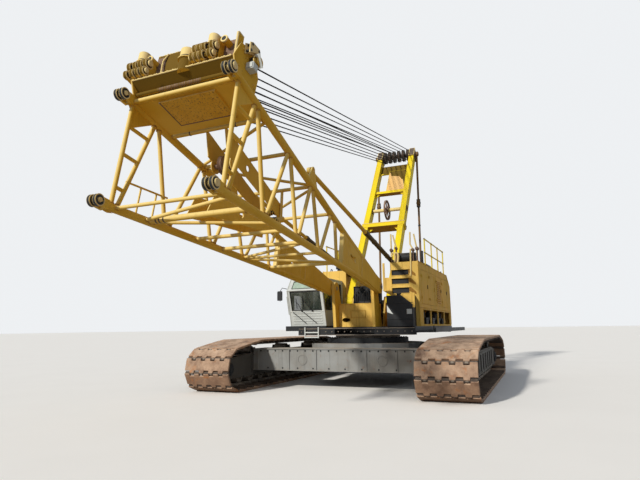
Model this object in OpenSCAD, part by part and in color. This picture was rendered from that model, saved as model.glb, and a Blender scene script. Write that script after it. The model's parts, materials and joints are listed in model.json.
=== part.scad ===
// Lattice-boom crawler crane standing with only its boom's first section fitted, in millimetres.
// +X points forwards, towards the boom's end; +Y is the crane's left; +Z is up, with the ground at 0.
// crane() moves the slewing axis, from which lengths are measured, to its place on X.
// boom_frame() has its own X along the boom from the foot pin, and its own Z across the boom.

/* [Undercarriage] */
// Width over both tracks
overall_w = 7460; // [6800:20:7800]
// Width of one track shoe
shoe_w = 1350; // [1100:10:1400]
// Length of each track from end to end
track_l = 8380; // [8000:20:8800]
// Height of the track's upper run
track_h = 1340; // [1300:5:1350]
// Number of shoes in one track
shoe_count = 50; // [46:1:54]
// Radius of the track's turn round idler and sprocket, at the shoe pins
turn_r = 470; // [440:5:480]

/* [Upperworks] */
// Height of the deck that carries the machinery
deck_z = 1650; // [1640:5:1680]
// Width over both machinery houses
house_w = 3600; // [3400:20:3800]
// Height of the house roof
roof_z = 3550; // [3450:10:3600]
// Reach of the tail behind the slewing axis
rear_reach = 5060; // [5000:10:5200]
// Front face of the cab, ahead of the slewing axis
cab_front = 1000; // [950:10:1050]

/* [Gantry] */
// Gantry leg foot, ahead of the slewing axis
gantry_foot_x = -350; // [-400:10:-300]
// Gantry head shaft, ahead of the slewing axis
gantry_head_x = -4600; // [-4700:10:-4500]
// Gantry head shaft height
gantry_head_z = 8660; // [8500:10:8800]

/* [Boom] */
// Angle of the boom above the horizontal as it is parked
boom_angle = 11.67; // [10:0.01:14]
// Length from foot pin to end face
boom_l = 8480; // [8200:20:8800]
// Boom foot pin, ahead of the slewing axis
foot_x = 1152; // [1100:2:1200]
// Boom foot pin height
foot_z = 2800; // [2750:5:2850]
// Half the spacing of the boom feet
foot_y = 742; // [730:2:750]
// Half the spacing of the chords at the end face, sideways
end_y = 1051; // [1000:1:1060]
// Half the spacing of the chords at the end face, upwards
end_h = 970; // [920:5:980]
// Chord tube diameter
chord_d = 140; // [130:5:150]
// Lacing tube diameter
lace_d = 76; // [70:1:80]

/* [Rigging] */
// Luffing rope diameter
rope_d = 28; // [24:1:30]
// Sheave radius over the flanges
sheave_r = 250; // [230:5:260]

/* [Hidden] */
$fn = 32;

// Colours
ochre = [0.80, 0.62, 0.22];
lemon = [0.93, 0.86, 0.12];
orange_yellow = [0.86, 0.62, 0.12];
dusty_rust = [0.36, 0.26, 0.20];
machine_dark = [0.12, 0.12, 0.13];
carbody_grey = [0.42, 0.43, 0.43];
cab_grey = [0.72, 0.73, 0.70];
bare_steel = [0.45, 0.42, 0.38];

// Boom geometry
foot_h = 90;
splay = atan((end_y - foot_y) / boom_l);
top_slope = atan((end_h - foot_h) / boom_l);
lug_s = boom_l + 180;
lug_r = 95;
front_reach = foot_x + lug_s * cos(boom_angle) + end_h * sin(boom_angle) + lug_r;
slew_x = -(front_reach - rear_reach) / 2;
function chord_h(s) = foot_h + (end_h - foot_h) * s / boom_l;
function chord_y(s) = foot_y + (end_y - foot_y) * s / boom_l;

// Undercarriage geometry
pin_z = 110;
wheel_z = pin_z + turn_r;
wheel_x = track_l / 2 - turn_r - pin_z;
track_y = (overall_w - shoe_w) / 2;
carrier_x = 2450;
carrier_z = track_h - pin_z;
carrier_xs = [200 - carrier_x, 0, carrier_x - 200];
wheel_r = turn_r - 98;

// Gantry geometry
gantry_foot_z = 2450;
gantry_dx = gantry_foot_x - gantry_head_x;
gantry_dz = gantry_head_z - gantry_foot_z;
gantry_lean = atan(gantry_dx / gantry_dz);
gantry_l = norm([gantry_dx, gantry_dz]);
gantry_y = 660;

// Rigging geometry
bridle_s = 8080;
bridle_h = 1490;
rope_r = sheave_r - 24;
rope_ys = [[-480, -660], [-290, -380], [-100, -130], [100, 130], [290, 380], [480, 660]];
backstop_a = [-1020, 3440];
backstop_s = 5370;
backstop_h = 970;
backstop_y = 880;

// Point of the boom frame, in the crane's X and Z
function boom_point(s, h) = [
    foot_x + s * cos(boom_angle) - h * sin(boom_angle),
    foot_z + s * sin(boom_angle) + h * cos(boom_angle),
];
backstop_b = boom_point(backstop_s, backstop_h);
bridle_c = boom_point(bridle_s, bridle_h);

// Helpers
module crane() { translate([slew_x, 0, 0]) children(); }

module boom_frame() {
    crane() translate([foot_x, 0, foot_z]) rotate([0, -boom_angle, 0]) children();
}

// Plane of one side truss: X along the boom, Z across it, splayed outwards towards the end
module side_plane(side) {
    boom_frame() translate([0, side * foot_y, 0]) rotate([0, 0, side * splay]) children();
}

// Plane through both top chords (side 1) or both bottom chords (side -1)
module chord_plane(side) {
    boom_frame() translate([0, 0, side * foot_h]) rotate([0, -side * top_slope, 0]) children();
}

module gantry_frame() {
    crane() translate([gantry_foot_x, 0, gantry_foot_z]) rotate([0, -gantry_lean, 0]) children();
}

module both_sides() {
    children();
    mirror([0, 1, 0]) children();
}

// Round bar between two points
module bar(p, q, d) {
    v = q - p;
    translate(p) rotate([0, acos(v.z / norm(v)), atan2(v.y, v.x)]) cylinder(d = d, h = norm(v));
}

// Round bar along Y at x and z
module shaft(x, z, d, y0, y1) {
    translate([x, y0, z]) rotate([-90, 0, 0]) cylinder(d = d, h = y1 - y0);
}

// XZ outline made a plate from y0 to y1
module plate(y0, y1) {
    translate([0, y1, 0]) rotate([90, 0, 0]) linear_extrude(y1 - y0) children();
}

// Round bar along Z at x and y
module shaft_z(x, y, d, z0, z1) { translate([x, y, z0]) cylinder(d = d, h = z1 - z0); }

module block(x0, x1, y0, y1, z0, z1) { translate([x0, y0, z0]) cube([x1 - x0, y1 - y0, z1 - z0]); }

// Track geometry: the pin line runs along the ground, round the idler, up to the front
// carrier roller, back over the top, down to the sprocket and round it.
tangent_d = norm([carrier_x - wheel_x, carrier_z - wheel_z]);
tangent_a = atan2(carrier_z - wheel_z, carrier_x - wheel_x) - acos(turn_r / tangent_d);
ground_l = 2 * wheel_x;
arc_l = turn_r * (90 + tangent_a) * PI / 180;
slope_l = sqrt(tangent_d * tangent_d - turn_r * turn_r);
top_l = 2 * carrier_x;
loop_l = ground_l + 2 * arc_l + 2 * slope_l + top_l;
front_tangent = [wheel_x + turn_r * cos(tangent_a), wheel_z + turn_r * sin(tangent_a)];
function mix(p, q, t) = p + (q - p) * t;
function turn_point(x, a) = [x + turn_r * cos(a), wheel_z + turn_r * sin(a)];
// Point on the front half of the pin line, d along it from under the slewing axis
function half_point(d) =
    d < ground_l / 2 ? [d, pin_z]
    : d < ground_l / 2 + arc_l
        ? turn_point(wheel_x, -90 + (d - ground_l / 2) / turn_r * 180 / PI)
    : d < ground_l / 2 + arc_l + slope_l
        ? mix(front_tangent, [carrier_x, carrier_z], (d - ground_l / 2 - arc_l) / slope_l)
    : [carrier_x - (d - ground_l / 2 - arc_l - slope_l), carrier_z];
function loop_point(d) = d <= loop_l / 2 ? half_point(d)
    : let(p = half_point(loop_l - d)) [-p.x, p.y];
// Whole shoes lie along the ground, and the others share the rest of the loop evenly
ground_shoes = 2 * round(shoe_count * ground_l / loop_l / 2);
rest_pitch = (loop_l - ground_l) / (shoe_count - ground_shoes);
pins = [for (i = [0:shoe_count - 1]) loop_point(i < ground_shoes / 2 ? i * ground_l / ground_shoes
    : i <= shoe_count - ground_shoes / 2 ? ground_l / 2 + (i - ground_shoes / 2) * rest_pitch
    : loop_l - (shoe_count - i) * ground_l / ground_shoes)];
// Outward offset point of shoe i, share t along it, n outside the pin line
function shoe_point(i, along, out) =
    let(p = pins[i], q = pins[(i + 1) % shoe_count], e = (q - p) / norm(q - p))
    (along < 0 ? q : p) + e * along + [e.y, -e.x] * out;

module shoe_ring(gap, low, high) {
    polygon([for (i = [0:shoe_count - 1], c = [[gap, low], [gap, high], [-gap, high], [-gap, low]])
        shoe_point(i, c[0], c[1])]);
}
module pin_ring(out) { polygon([for (i = [0:shoe_count - 1]) shoe_point(i, 0.01, out)]); }

// One track: ribbed shoes carried by two rails of links
module track(side) {
    color(dusty_rust) crane() translate([0, side * track_y, 0]) {
        plate(-shoe_w / 2, shoe_w / 2) difference() {
            shoe_ring(16, 50, pin_z);
            pin_ring(20);
        }
        for (y = [-150, 150]) plate(y - 45, y + 45) difference() {
            pin_ring(20);
            pin_ring(-60);
        }
    }
}
module track_left() { track(1); }
module track_right() { track(-1); }

// Undercarriage
module carbody() {
    color(carbody_grey) crane() {
        translate([0, 0, 460]) linear_extrude(720)
            polygon([[-1500, -900], [-900, -1500], [900, -1500], [1500, -900],
                [1500, 900], [900, 1500], [-900, 1500], [-1500, 900]]);
        for (x = [-2050, 2050]) difference() {
            block(x - 320, x + 320, -track_y + 350, track_y - 350, 480, 1080);
            shaft(x, 780, 260, -track_y, track_y);
        }
        for (side = [-1, 1]) block(side * 1740 - 240, side * 1740 + 240, -700, 700, 520, 1060);
    }
}

module slew_ring_outer() {
    color(machine_dark) crane() translate([0, 0, 1180]) difference() {
        cylinder(r = 1250, h = 150);
        translate([0, 0, -1]) cylinder(r = 1010, h = 152);
    }
}

module frame_outline() {
    polygon([[-wheel_x, 330], [wheel_x, 330], [wheel_x, 850], [carrier_x, 960],
        [-carrier_x, 960], [-wheel_x, 850]]);
    for (x = [-wheel_x, wheel_x]) translate([x, wheel_z]) circle(r = 270);
}

module track_frames() {
    color(carbody_grey) crane() for (side = [-1, 1]) translate([0, side * track_y, 0]) {
        both_sides() plate(290, 350) frame_outline();
        block(-wheel_x + 500, wheel_x - 500, -290, 290, 500, 900);
        for (x = carrier_xs)
            both_sides() plate(250, 290) polygon([[x - 160, 900], [x + 160, 900],
                [x + 70, 1110], [x - 70, 1110]]);
    }
}

module track_rollers() {
    color(bare_steel) crane() for (side = [-1, 1]) translate([0, side * track_y, 0]) {
        for (i = [-5:5]) {
            shaft(i * 580, 322, 300, -210, 210);
            shaft(i * 580, 322, 90, -290, 290);
        }
        for (x = carrier_xs) {
            shaft(x, carrier_z - 185, 220, -200, 200);
            shaft(x, carrier_z - 185, 80, -250, 250);
        }
    }
}

// Idlers in front and toothed sprockets behind
module track_wheels() {
    color(dusty_rust) crane() for (side = [-1, 1]) translate([0, side * track_y, 0]) {
        shaft(wheel_x, wheel_z, 2 * wheel_r, -200, 200);
        shaft(wheel_x, wheel_z, 240, -290, 290);
        plate(-200, 200) translate([-wheel_x, wheel_z]) difference() {
            circle(r = wheel_r);
            for (a = [15:30:345]) rotate(a) translate([wheel_r + 12, 0]) circle(r = 55);
        }
        shaft(-wheel_x, wheel_z, 300, -290, 290);
    }
}

module travel_gearboxes() {
    color(machine_dark) crane() for (side = [-1, 1]) scale([1, side, 1]) {
        shaft(-wheel_x, wheel_z, 620, track_y - 600, track_y - 350);
        shaft(-wheel_x, wheel_z, 380, track_y - 860, track_y - 600);
    }
}

// Upper frame: two girders under a deck, with cross beams out to the house sills and a tail
// plate. Columns on it carry the pins of the boom feet and of the gantry legs.
module boom_ear() {
    difference() {
        union() {
            polygon([[560, deck_z], [1240, deck_z], [foot_x + 190, foot_z], [foot_x - 190, foot_z]]);
            translate([foot_x, foot_z]) circle(r = 190);
        }
        translate([foot_x, foot_z]) circle(r = 60);
    }
}
module gantry_ear() {
    difference() {
        union() {
            polygon([[-700, deck_z], [0, deck_z], [gantry_foot_x + 150, gantry_foot_z],
                [gantry_foot_x - 150, gantry_foot_z]]);
            translate([gantry_foot_x, gantry_foot_z]) circle(r = 150);
        }
        translate([gantry_foot_x, gantry_foot_z]) circle(r = 50);
    }
}
module foot_columns() {
    color(orange_yellow) crane() both_sides() {
        plate(560, 650) boom_ear();
        for (e = [[490, 550], [770, 830]]) plate(e[0], e[1]) gantry_ear();
    }
}
frame_z = 1420;
module upper_frame() {
    color(machine_dark) crane() {
        block(-rear_reach + 60, 1250, -1000, 1000, deck_z - 30, deck_z);
        both_sides() {
            block(-rear_reach + 60, 1250, 620, 860, frame_z, deck_z - 30);
            for (x = [-4600, -3200, -1800, -400]) block(x, x + 140, 860, house_w / 2, frame_z + 60, deck_z - 30);
            block(1110, 1250, 860, house_w / 2, frame_z, deck_z - 30);
            block(-rear_reach + 60, 1250, house_w / 2 - 60, house_w / 2, deck_z - 170, deck_z);
        }
        block(-1300, 1250, -620, 620, frame_z, frame_z + 30);
        block(-rear_reach + 60, -rear_reach + 260, -620, 620, frame_z, deck_z - 30);
        // tail plate with four holes for the counterweight's hangers
        difference() {
            block(-rear_reach, -rear_reach + 60, -1750, 1750, frame_z, 2000);
            for (y = [-1400, 1400]) translate([-rear_reach - 1, y, 1820]) rotate([0, 90, 0])
                cylinder(r = 60, h = 70);
        }
        // platform under the cab
        block(cab_rear, cab_front + 60, cab_y0 - 30, 20 - house_w / 2, deck_z - 100, deck_z + 50);
        block(cab_rear, cab_front + 60, -house_w / 2, -980, deck_z - 30, deck_z + 50);
        // ears and pins for the gantry's rear links
        both_sides() {
            plate(700, 740) {
                polygon([[link_pin.x - 300, deck_z], [link_pin.x + 300, deck_z],
                    [link_pin.x + 120, link_pin.y], [link_pin.x - 120, link_pin.y]]);
                translate(link_pin) circle(r = 120);
            }
            shaft(link_pin.x, link_pin.y, 120, 740, 890);
        }
    }
}

module slew_ring_inner() {
    color(bare_steel) crane() translate([0, 0, 1200]) difference() {
        cylinder(r = 1000, h = frame_z - 1200);
        translate([0, 0, -1]) cylinder(r = 820, h = 300);
    }
}

module foot_pins() {
    color(bare_steel) crane() both_sides() {
        shaft(foot_x, foot_z, 119.6, 550, 830);
        shaft(gantry_foot_x, gantry_foot_z, 99.6, 480, 840);
    }
}

// Cover between the boom's ears, with an oval opening and a pressed rectangle
module centre_box() {
    color(orange_yellow) crane() difference() {
        block(350, 1000, -555, 555, deck_z, 2340);
        block(380, 970, -525, 525, deck_z - 1, 2310);
        translate([900, -330, deck_z + 210]) rotate([0, 90, 0]) {
            translate([0, -70, 0]) cylinder(d = 130, h = 200);
            translate([0, 70, 0]) cylinder(d = 130, h = 200);
            translate([-65, -70, 0]) cube([130, 140, 200]);
        }
        difference() {
            block(988, 1010, -190, 290, 1915, 2135);
            block(987, 1011, -166, 266, 1939, 2111);
        }
    }
}

// Machinery houses: sheet shells with an open bay below the side panels
house_y0 = 960;
house_wall = 30;
house_floor = 2200;
module house_outline(front, inset) {
    sill = deck_z + (inset > 0 ? house_wall : 0);
    polygon([[front - inset, sill], [front - inset, roof_z - inset],
        [-4300 + inset * 0.3, roof_z - inset], [-4900 + inset, 3150 - inset * 0.3],
        [-4900 + inset, sill]]);
}
door_x = -1900;
module house(front, panel_xs) {
    difference() {
        plate(house_y0, house_w / 2) house_outline(front, 0);
        difference() {
            plate(house_y0 + house_wall, house_w / 2 - house_wall) house_outline(front, house_wall);
            block(-5000, 700, 900, 1900, house_floor - house_wall, house_floor);
        }
        for (x = [-4600:1200:front - 1100])
            block(x, x + 1080, house_w / 2 - 100, house_w / 2 + 50, deck_z + 60, house_floor - 60);
        block(door_x, door_x + 1000, house_w / 2 - 100, house_w / 2 + 50, 2300, 3350);
        for (x = panel_xs) difference() {
            block(x, x + 1000, house_w / 2 - 8, house_w / 2 + 50, 2300, 3350);
            block(x + 12, x + 988, house_w / 2 - 9, house_w / 2 + 51, 2312, 3338);
        }
    }
}
module house_left() {
    color(orange_yellow) crane() difference() {
        house(600, [-4200, -3050, -750]);
        for (z = [3150, 2890, 2616]) block(500, 700, 1000, 1520, z, z + 178);
    }
}
module house_right() {
    color(orange_yellow) crane() mirror([0, 1, 0]) house(cab_rear - 30, [-4200, -3050]);
}

// Door in a house side: a pressed sheet with a handle, hinged at its front edge
module house_door() {
    difference() {
        block(door_x + 8, door_x + 992, house_w / 2 - 20, house_w / 2, 2308, 3342);
        block(door_x + 80, door_x + 920, house_w / 2 - 8, house_w / 2 + 1, 2380, 3270);
    }
    for (z = [2450, 3150]) {
        shaft_z(door_x + 990, house_w / 2 + 22, 24, z, z + 80);
        block(door_x + 950, door_x + 990, house_w / 2, house_w / 2 + 16, z, z + 80);
    }
    block(door_x + 90, door_x + 130, house_w / 2 - 8, house_w / 2 + 25, 2780, 2900);
}
module house_door_left() { color(orange_yellow) crane() house_door(); }
module house_door_right() { color(orange_yellow) crane() mirror([0, 1, 0]) house_door(); }

module engine() { color(bare_steel) crane() block(-3600, -1900, 1080, 1680, house_floor, 3200); }

module side_tank() {
    color(machine_dark) crane() block(600, 980, 920, 1690, deck_z, 2540);
}

// Walkways beside both houses, with a lifting lug at the front left corner
walk_z = 1480;
module walkways() {
    color(machine_dark) crane() {
        block(-4500, 1200, house_w / 2, 2350, walk_z, walk_z + 40);
        block(-4500, cab_rear - 20, -2350, -house_w / 2, walk_z, walk_z + 40);
        plate(2250, 2290) difference() {
            polygon([[850, walk_z + 40], [1150, walk_z + 40], [1040, 1660], [960, 1660]]);
            translate([1000, 1600]) circle(r = 30);
        }
    }
}

module handrails() {
    color(lemon) crane() both_sides() {
        for (x = [-900:-1100:-4200]) bar([x, house_w / 2 - 80, roof_z], [x, house_w / 2 - 80, roof_z + 900], 42);
        for (z = [450, 900]) bar([-900, house_w / 2 - 80, roof_z + z], [-4200, house_w / 2 - 80, roof_z + z], 42);
    }
}

// Cab: a sheet shell with its windows cut, on the right front of the deck
cab_y0 = -2300;
cab_y1 = -1100;
cab_rear = -700;
cab_top = 3180;
cab_wall = 40;
door_front = 660;
module cab_outline(inset) {
    polygon([[cab_front - 280 - inset, deck_z + 50 + inset], [cab_front - 160 - inset, 2150],
        [cab_front + 40 - inset, 2800], [cab_front - 250 - inset * 0.5, cab_top - inset],
        [cab_rear + inset, cab_top - inset], [cab_rear + inset, deck_z + 50 + inset]]);
}
module side_window_outline() {
    polygon([[cab_front - 260, 2200], [cab_front - 80, 2780], [cab_front - 280, 3060],
        [200, 3060], [200, 2200]]);
}
module cab_shell() {
    color(cab_grey) crane() difference() {
        plate(cab_y0, cab_y1) cab_outline(0);
        plate(cab_y0 + cab_wall, cab_y1 - cab_wall) cab_outline(cab_wall);
        plate(cab_y1 - 60, cab_y1 + 10) side_window_outline();
        plate(cab_y1 - 60, cab_y1 + 10) polygon([[120, 2200], [120, 3060], [-580, 3060], [-580, 2200]]);
        // doorway in the outer side
        block(-60, door_front, cab_y0 - 10, cab_y0 + 60, deck_z + 110, 2760);
        // rear window
        block(cab_rear - 10, cab_rear + 60, cab_y0 + 120, cab_y1 - 120, 2300, 3040);
        // windscreen and roof window
        translate([0, cab_y1 - 90, 0]) rotate([90, 0, 0]) linear_extrude(1020)
            polygon([[cab_front - 300, 2190], [cab_front + 200, 2190], [cab_front + 200, 2770],
                [cab_front - 130, 2770]]);
        translate([0, cab_y1 - 140, 0]) rotate([90, 0, 0]) linear_extrude(920)
            polygon([[cab_front - 120, 2860], [cab_front + 100, 2860], [cab_front - 40, 3110],
                [cab_front - 260, 3110]]);
    }
}
module cab_glass() {
    color([0.5, 0.6, 0.55, 0.4]) crane() {
        translate([0, cab_y1 - 90, 0]) rotate([90, 0, 0]) linear_extrude(1020)
            polygon([[cab_front - 172, 2190], [cab_front - 164, 2190], [cab_front + 15, 2770],
                [cab_front + 7, 2770]]);
        translate([0, cab_y1 - 140, 0]) rotate([90, 0, 0]) linear_extrude(920)
            polygon([[cab_front - 25, 2862], [cab_front - 207, 3100], [cab_front - 215, 3100],
                [cab_front - 33, 2862]]);
        plate(cab_y1 - 26, cab_y1 - 18) side_window_outline();
        plate(cab_y1 - 26, cab_y1 - 18) polygon([[120, 2200], [120, 3060], [-580, 3060], [-580, 2200]]);
        block(cab_rear + 16, cab_rear + 24, cab_y0 + 120, cab_y1 - 120, 2300, 3040);
    }
}
module cab_seat() {
    color([0.12, 0.12, 0.12]) crane() {
        block(-150, 150, -1800, -1550, deck_z + 90, 2100);
        block(-250, 280, -1950, -1430, 2100, 2240);
        block(-370, -250, -1950, -1430, 2150, 2900);
        for (y = [-2080, -1400]) block(-150, 420, y, y + 90, deck_z + 90, 2380);
    }
}
module cab_door() {
    color(cab_grey) crane() difference() {
        union() {
            block(-54, door_front - 6, cab_y0, cab_y0 + 34, deck_z + 116, 2754);
            block(door_front - 110, door_front - 70, cab_y0 - 30, cab_y0, 2060, 2110);
            for (z = [1900, 2600]) {
                shaft_z(-46, cab_y0 - 22, 24, z, z + 80);
                block(-46, 4, cab_y0 - 16, cab_y0, z, z + 80);
            }
        }
        block(20, door_front - 80, cab_y0 - 10, cab_y0 + 60, 2160, 2690);
    }
}
// Step hung from the front beam, and two lamps on the roof
module cab_fittings() {
    color(cab_grey) crane() {
        for (y = [-1560, -1120]) {
            bar([1290, y, 1340], [1290, y, 1660], 40);
            bar([1250, y, 1600], [1290, y, 1600], 40);
        }
        for (z = [1360, 1500]) bar([1290, -1560, z], [1290, -1120, z], 40);
        for (y = [-2150, -1350]) {
            block(cab_front - 330, cab_front - 270, y - 30, y + 30, cab_top, cab_top + 60);
            translate([cab_front - 270, y, cab_top + 110]) rotate([0, 90, 0]) translate([0, 0, -60])
                cylinder(d = 160, h = 120);
        }
    }
}

// Gantry
leg_depth = 300;
leg_sheave_l = 4280;
module gantry_legs() {
    color(lemon) gantry_frame() difference() {
        union() {
            both_sides() {
                block(-leg_depth / 2, leg_depth / 2, gantry_y - 95, gantry_y + 95, 0, gantry_l - 260);
                shaft(0, 0, leg_depth, gantry_y - 95, gantry_y + 95);
            }
            block(-165, 165, -gantry_y - 140, gantry_y + 140, 3290, 3460);
            block(-80, 80, -gantry_y + 95, gantry_y - 95, 5180, 5310);
            // guard behind the ropes under the head, and the plate that hangs below it
            block(-80, -50, -gantry_y + 90, gantry_y - 90, 6480, 7000);
            block(60, 80, -150, gantry_y - 90, 5300, 6500);
            block(-80, 80, -150, -120, 6470, 6500);
            block(-80, 80, gantry_y - 120, gantry_y - 90, 6470, 6500);
        }
        shaft(0, 0, 100.4, -1000, 1000);
        shaft(0, leg_sheave_l, 110.4, -1000, 1000);
    }
    color(lemon) crane() both_sides() shaft(backstop_a[0], backstop_a[1], 90, gantry_y + 95, backstop_y + 60);
}
module gantry_head() {
    color(ochre) gantry_frame() both_sides() {
        difference() {
            block(-190, 190, gantry_y - 95, gantry_y + 115, gantry_l - 260, gantry_l + 190);
            shaft(0, gantry_l, 120.4, 0, gantry_y + 40);
        }
        shaft(0, gantry_l, 120, gantry_y + 115, gantry_y + 230);
    }
}
module head_sheaves() {
    color(dusty_rust) gantry_frame() {
        for (r = rope_ys) sheave(0, gantry_l, r[0]);
        shaft(0, gantry_l, 120, -gantry_y - 35, gantry_y + 35);
    }
}
// Grooved sheave, 76 wide, with its axis along Y
module sheave(x, z, y, r = sheave_r) {
    translate([x, y, z]) rotate([-90, 0, 0]) rotate_extrude()
        polygon([[40, -38], [r, -38], [r - 34, -12], [r - 42, 0],
            [r - 34, 12], [r, 38], [40, 38]]);
}
// Wide thin sheave between the legs, with six holes in its web
module leg_sheave() {
    color(dusty_rust) gantry_frame() {
        translate([0, 0, leg_sheave_l]) rotate([-90, 0, 0]) rotate_extrude()
            polygon([[340, -25], [380, -25], [366, -8], [366, 8], [380, 25], [340, 25]]);
        plate(-8, 8) translate([0, leg_sheave_l]) difference() {
            circle(r = 345);
            for (a = [0:60:300]) rotate(a) translate([215, 0]) circle(r = 82);
        }
        shaft(0, leg_sheave_l, 190, -60, 60);
        shaft(0, leg_sheave_l, 110, -gantry_y - 130, gantry_y + 130);
    }
}
link_pin = [-4350, 2100];
link_y = 830;
module gantry_links() {
    knuckle = mix([gantry_head_x, gantry_head_z], link_pin, 0.32);
    color(ochre) crane() both_sides() difference() {
        union() {
            bar([gantry_head_x, link_y, gantry_head_z], [knuckle.x, link_y, knuckle.y], 84);
            bar([knuckle.x, link_y, knuckle.y], [link_pin.x, link_y, link_pin.y], 84);
            for (p = [[gantry_head_x, gantry_head_z], knuckle, link_pin])
                shaft(p.x, p.y, 200, link_y - 45, link_y + 45);
        }
        for (p = [[gantry_head_x, gantry_head_z], link_pin])
            shaft(p.x, p.y, 120.4, link_y - 100, link_y + 100);
    }
}

// Drums lie across the well between the houses
drum_axes = [[-1350, 2250, 480], [-2500, 2250, 480]];
luff_axis = [-3600, 2200, 420];
module drum(x, z, r) {
    for (y = [-530, 500]) shaft(x, z, 2 * r, y, y + 30);
    shaft(x, z, r * 1.1, -500, 500);
    shaft(x, z, 120, -600, 600);
}
module hoist_drum(i) {
    color(machine_dark) crane() drum(drum_axes[i][0], drum_axes[i][1], drum_axes[i][2]);
}
module hoist_drum_front() { hoist_drum(0); }
module hoist_drum_rear() { hoist_drum(1); }
module luffing_drum() {
    color(machine_dark) crane() drum(luff_axis[0], luff_axis[1], luff_axis[2]);
}
module drum_stands() {
    color(orange_yellow) crane() both_sides() for (d = concat(drum_axes, [luff_axis]))
        plate(570, 630) difference() {
            polygon([[d[0] - 380, deck_z], [d[0] + 380, deck_z], [d[0] + 140, d[1] + 140],
                [d[0] - 140, d[1] + 140]]);
            translate([d[0], d[1]]) circle(d = 120.4);
        }
}

// Boom side trusses: each line is [s at top chord, s at bottom chord]
lacing = [[8400, 8380], [7840, 8270], [7760, 7160], [6500, 7080], [6420, 5850], [5360, 5770],
    [5280, 4720], [4150, 4640], [3900, 3600]];
plate_s = 3350;
module boom_side(side) {
    color(ochre) difference() {
        side_plane(side) {
            for (t = [-1, 1])
                bar([1500, 0, t * chord_h(1500)], [boom_l, 0, t * chord_h(boom_l)], chord_d);
            for (l = lacing) bar([l[0], 0, chord_h(l[0])], [l[1], 0, -chord_h(l[1])], lace_d);
            // foot: a tapered plate with a slotted hole, doubled towards the pin
            plate(-50, 50) difference() {
                union() {
                    polygon([[0, 200], [plate_s, chord_h(plate_s) + 50],
                        [plate_s, -chord_h(plate_s) - 50], [0, -200]]);
                    circle(r = 200);
                }
                translate([2450, 0]) circle(r = 75);
                translate([2450, -25]) square([330, 50]);
            }
            plate(-70, 70) {
                polygon([[0, 200], [1850, 260], [1850, -260], [0, -200]]);
                circle(r = 200);
            }
            // guard rail over the right bottom chord
            if (side < 0) {
                bar([8190, 0, -420], [7230, 0, -280], 34);
                for (s = [7860, 7500]) bar([s, 0, -chord_h(s)], [s, 0, -0.146 * s + 775], 34);
            }
            // rungs between the end post and the first diagonal
            for (h = [-600, 0, 520])
                bar([8370, 0, h], [8060 + (h < 0 ? -h * 0.24 : -h * 0.2), 0, h], 64);
            // corner gusset
            plate(-7, 7) polygon([[8400, 940], [7850, 880], [8380, 480]]);
        }
        boom_frame() shaft(0, 0, 120.4, -1000, 1000);
    }
    // ear for the backstop's rod
    color(ochre) difference() {
        boom_frame() scale([1, side, 1]) plate(backstop_y + 56, backstop_y + 96) difference() {
            union() {
                polygon([[backstop_s - 260, chord_h(backstop_s) - 20], [backstop_s + 200, chord_h(backstop_s) + 20],
                    [backstop_s + 70, backstop_h], [backstop_s - 70, backstop_h]]);
                translate([backstop_s, backstop_h]) circle(r = 70);
            }
            translate([backstop_s, backstop_h]) circle(r = 35);
        }
        side_plane(side) bar([1500, 0, chord_h(1500)], [boom_l, 0, chord_h(boom_l)], chord_d - 20);
    }
}
module boom_side_left() { boom_side(1); }
module boom_side_right() { boom_side(-1); }

// Lacing across the top and bottom faces: [s on the left chord, s on the right chord, diameter]
top_lines = [[8420, 8420, 80], [7440, 7440, 76], [7380, 6480, 60], [6440, 6440, 76],
    [5330, 6380, 60], [5290, 5290, 76], [5240, 4180, 60], [4140, 4140, 76]];
bottom_lines = [[8300, 8300, 62], [8150, 7640, 62], [7580, 7580, 104], [6800, 7500, 60],
    [6350, 6350, 70], [5520, 5520, 76], [5460, 4700, 60], [4650, 4650, 60], [3700, 4580, 60],
    [3640, 3640, 76]];
module boom_cut() {
    rotate([0, boom_angle, 0]) translate([-foot_x - slew_x, 0, -foot_z]) children();
}
module chord_pair(side, extra) {
    for (t = [-1, 1]) side_plane(t)
        bar([1500, 0, side * chord_h(1500)], [boom_l + 50, 0, side * chord_h(boom_l + 50)],
            chord_d + extra);
}
module cross_lacing(side, lines) {
    difference() {
        boom_frame() for (l = lines)
            bar([l[0], chord_y(l[0]), side * chord_h(l[0])],
                [l[1], -chord_y(l[1]), side * chord_h(l[1])], l[2]);
        chord_pair(side, 0.4);
        for (t = [-1, 1]) boom_frame() translate([3000, t > 0 ? 1160 : -1660, -1500])
            cube([6000, 500, 3000]);
    }
}
module boom_lacing() {
    color(ochre) {
        cross_lacing(1, top_lines);
        cross_lacing(-1, bottom_lines);
    }
}

// Pan-shaped deck between the top chords at the end
module boom_end_deck() {
    u0 = 7500 / cos(top_slope);
    u1 = 8370 / cos(top_slope);
    color(ochre) difference() {
        chord_plane(1) difference() {
            union() {
                translate([0, 0, -8]) linear_extrude(16)
                    polygon([[u0, 60 - chord_y(7500)], [u1, 60 - chord_y(8370)],
                        [u1, chord_y(8370) - 60], [u0, chord_y(7500) - 60]]);
                translate([u0 + 130, -560, -60]) cube([u1 - u0 - 190, 1120, 60]);
            }
            translate([u0 + 142, -548, -48]) cube([u1 - u0 - 214, 1096, 100]);
        }
        chord_pair(1, 0.4);
    }
}

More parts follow.
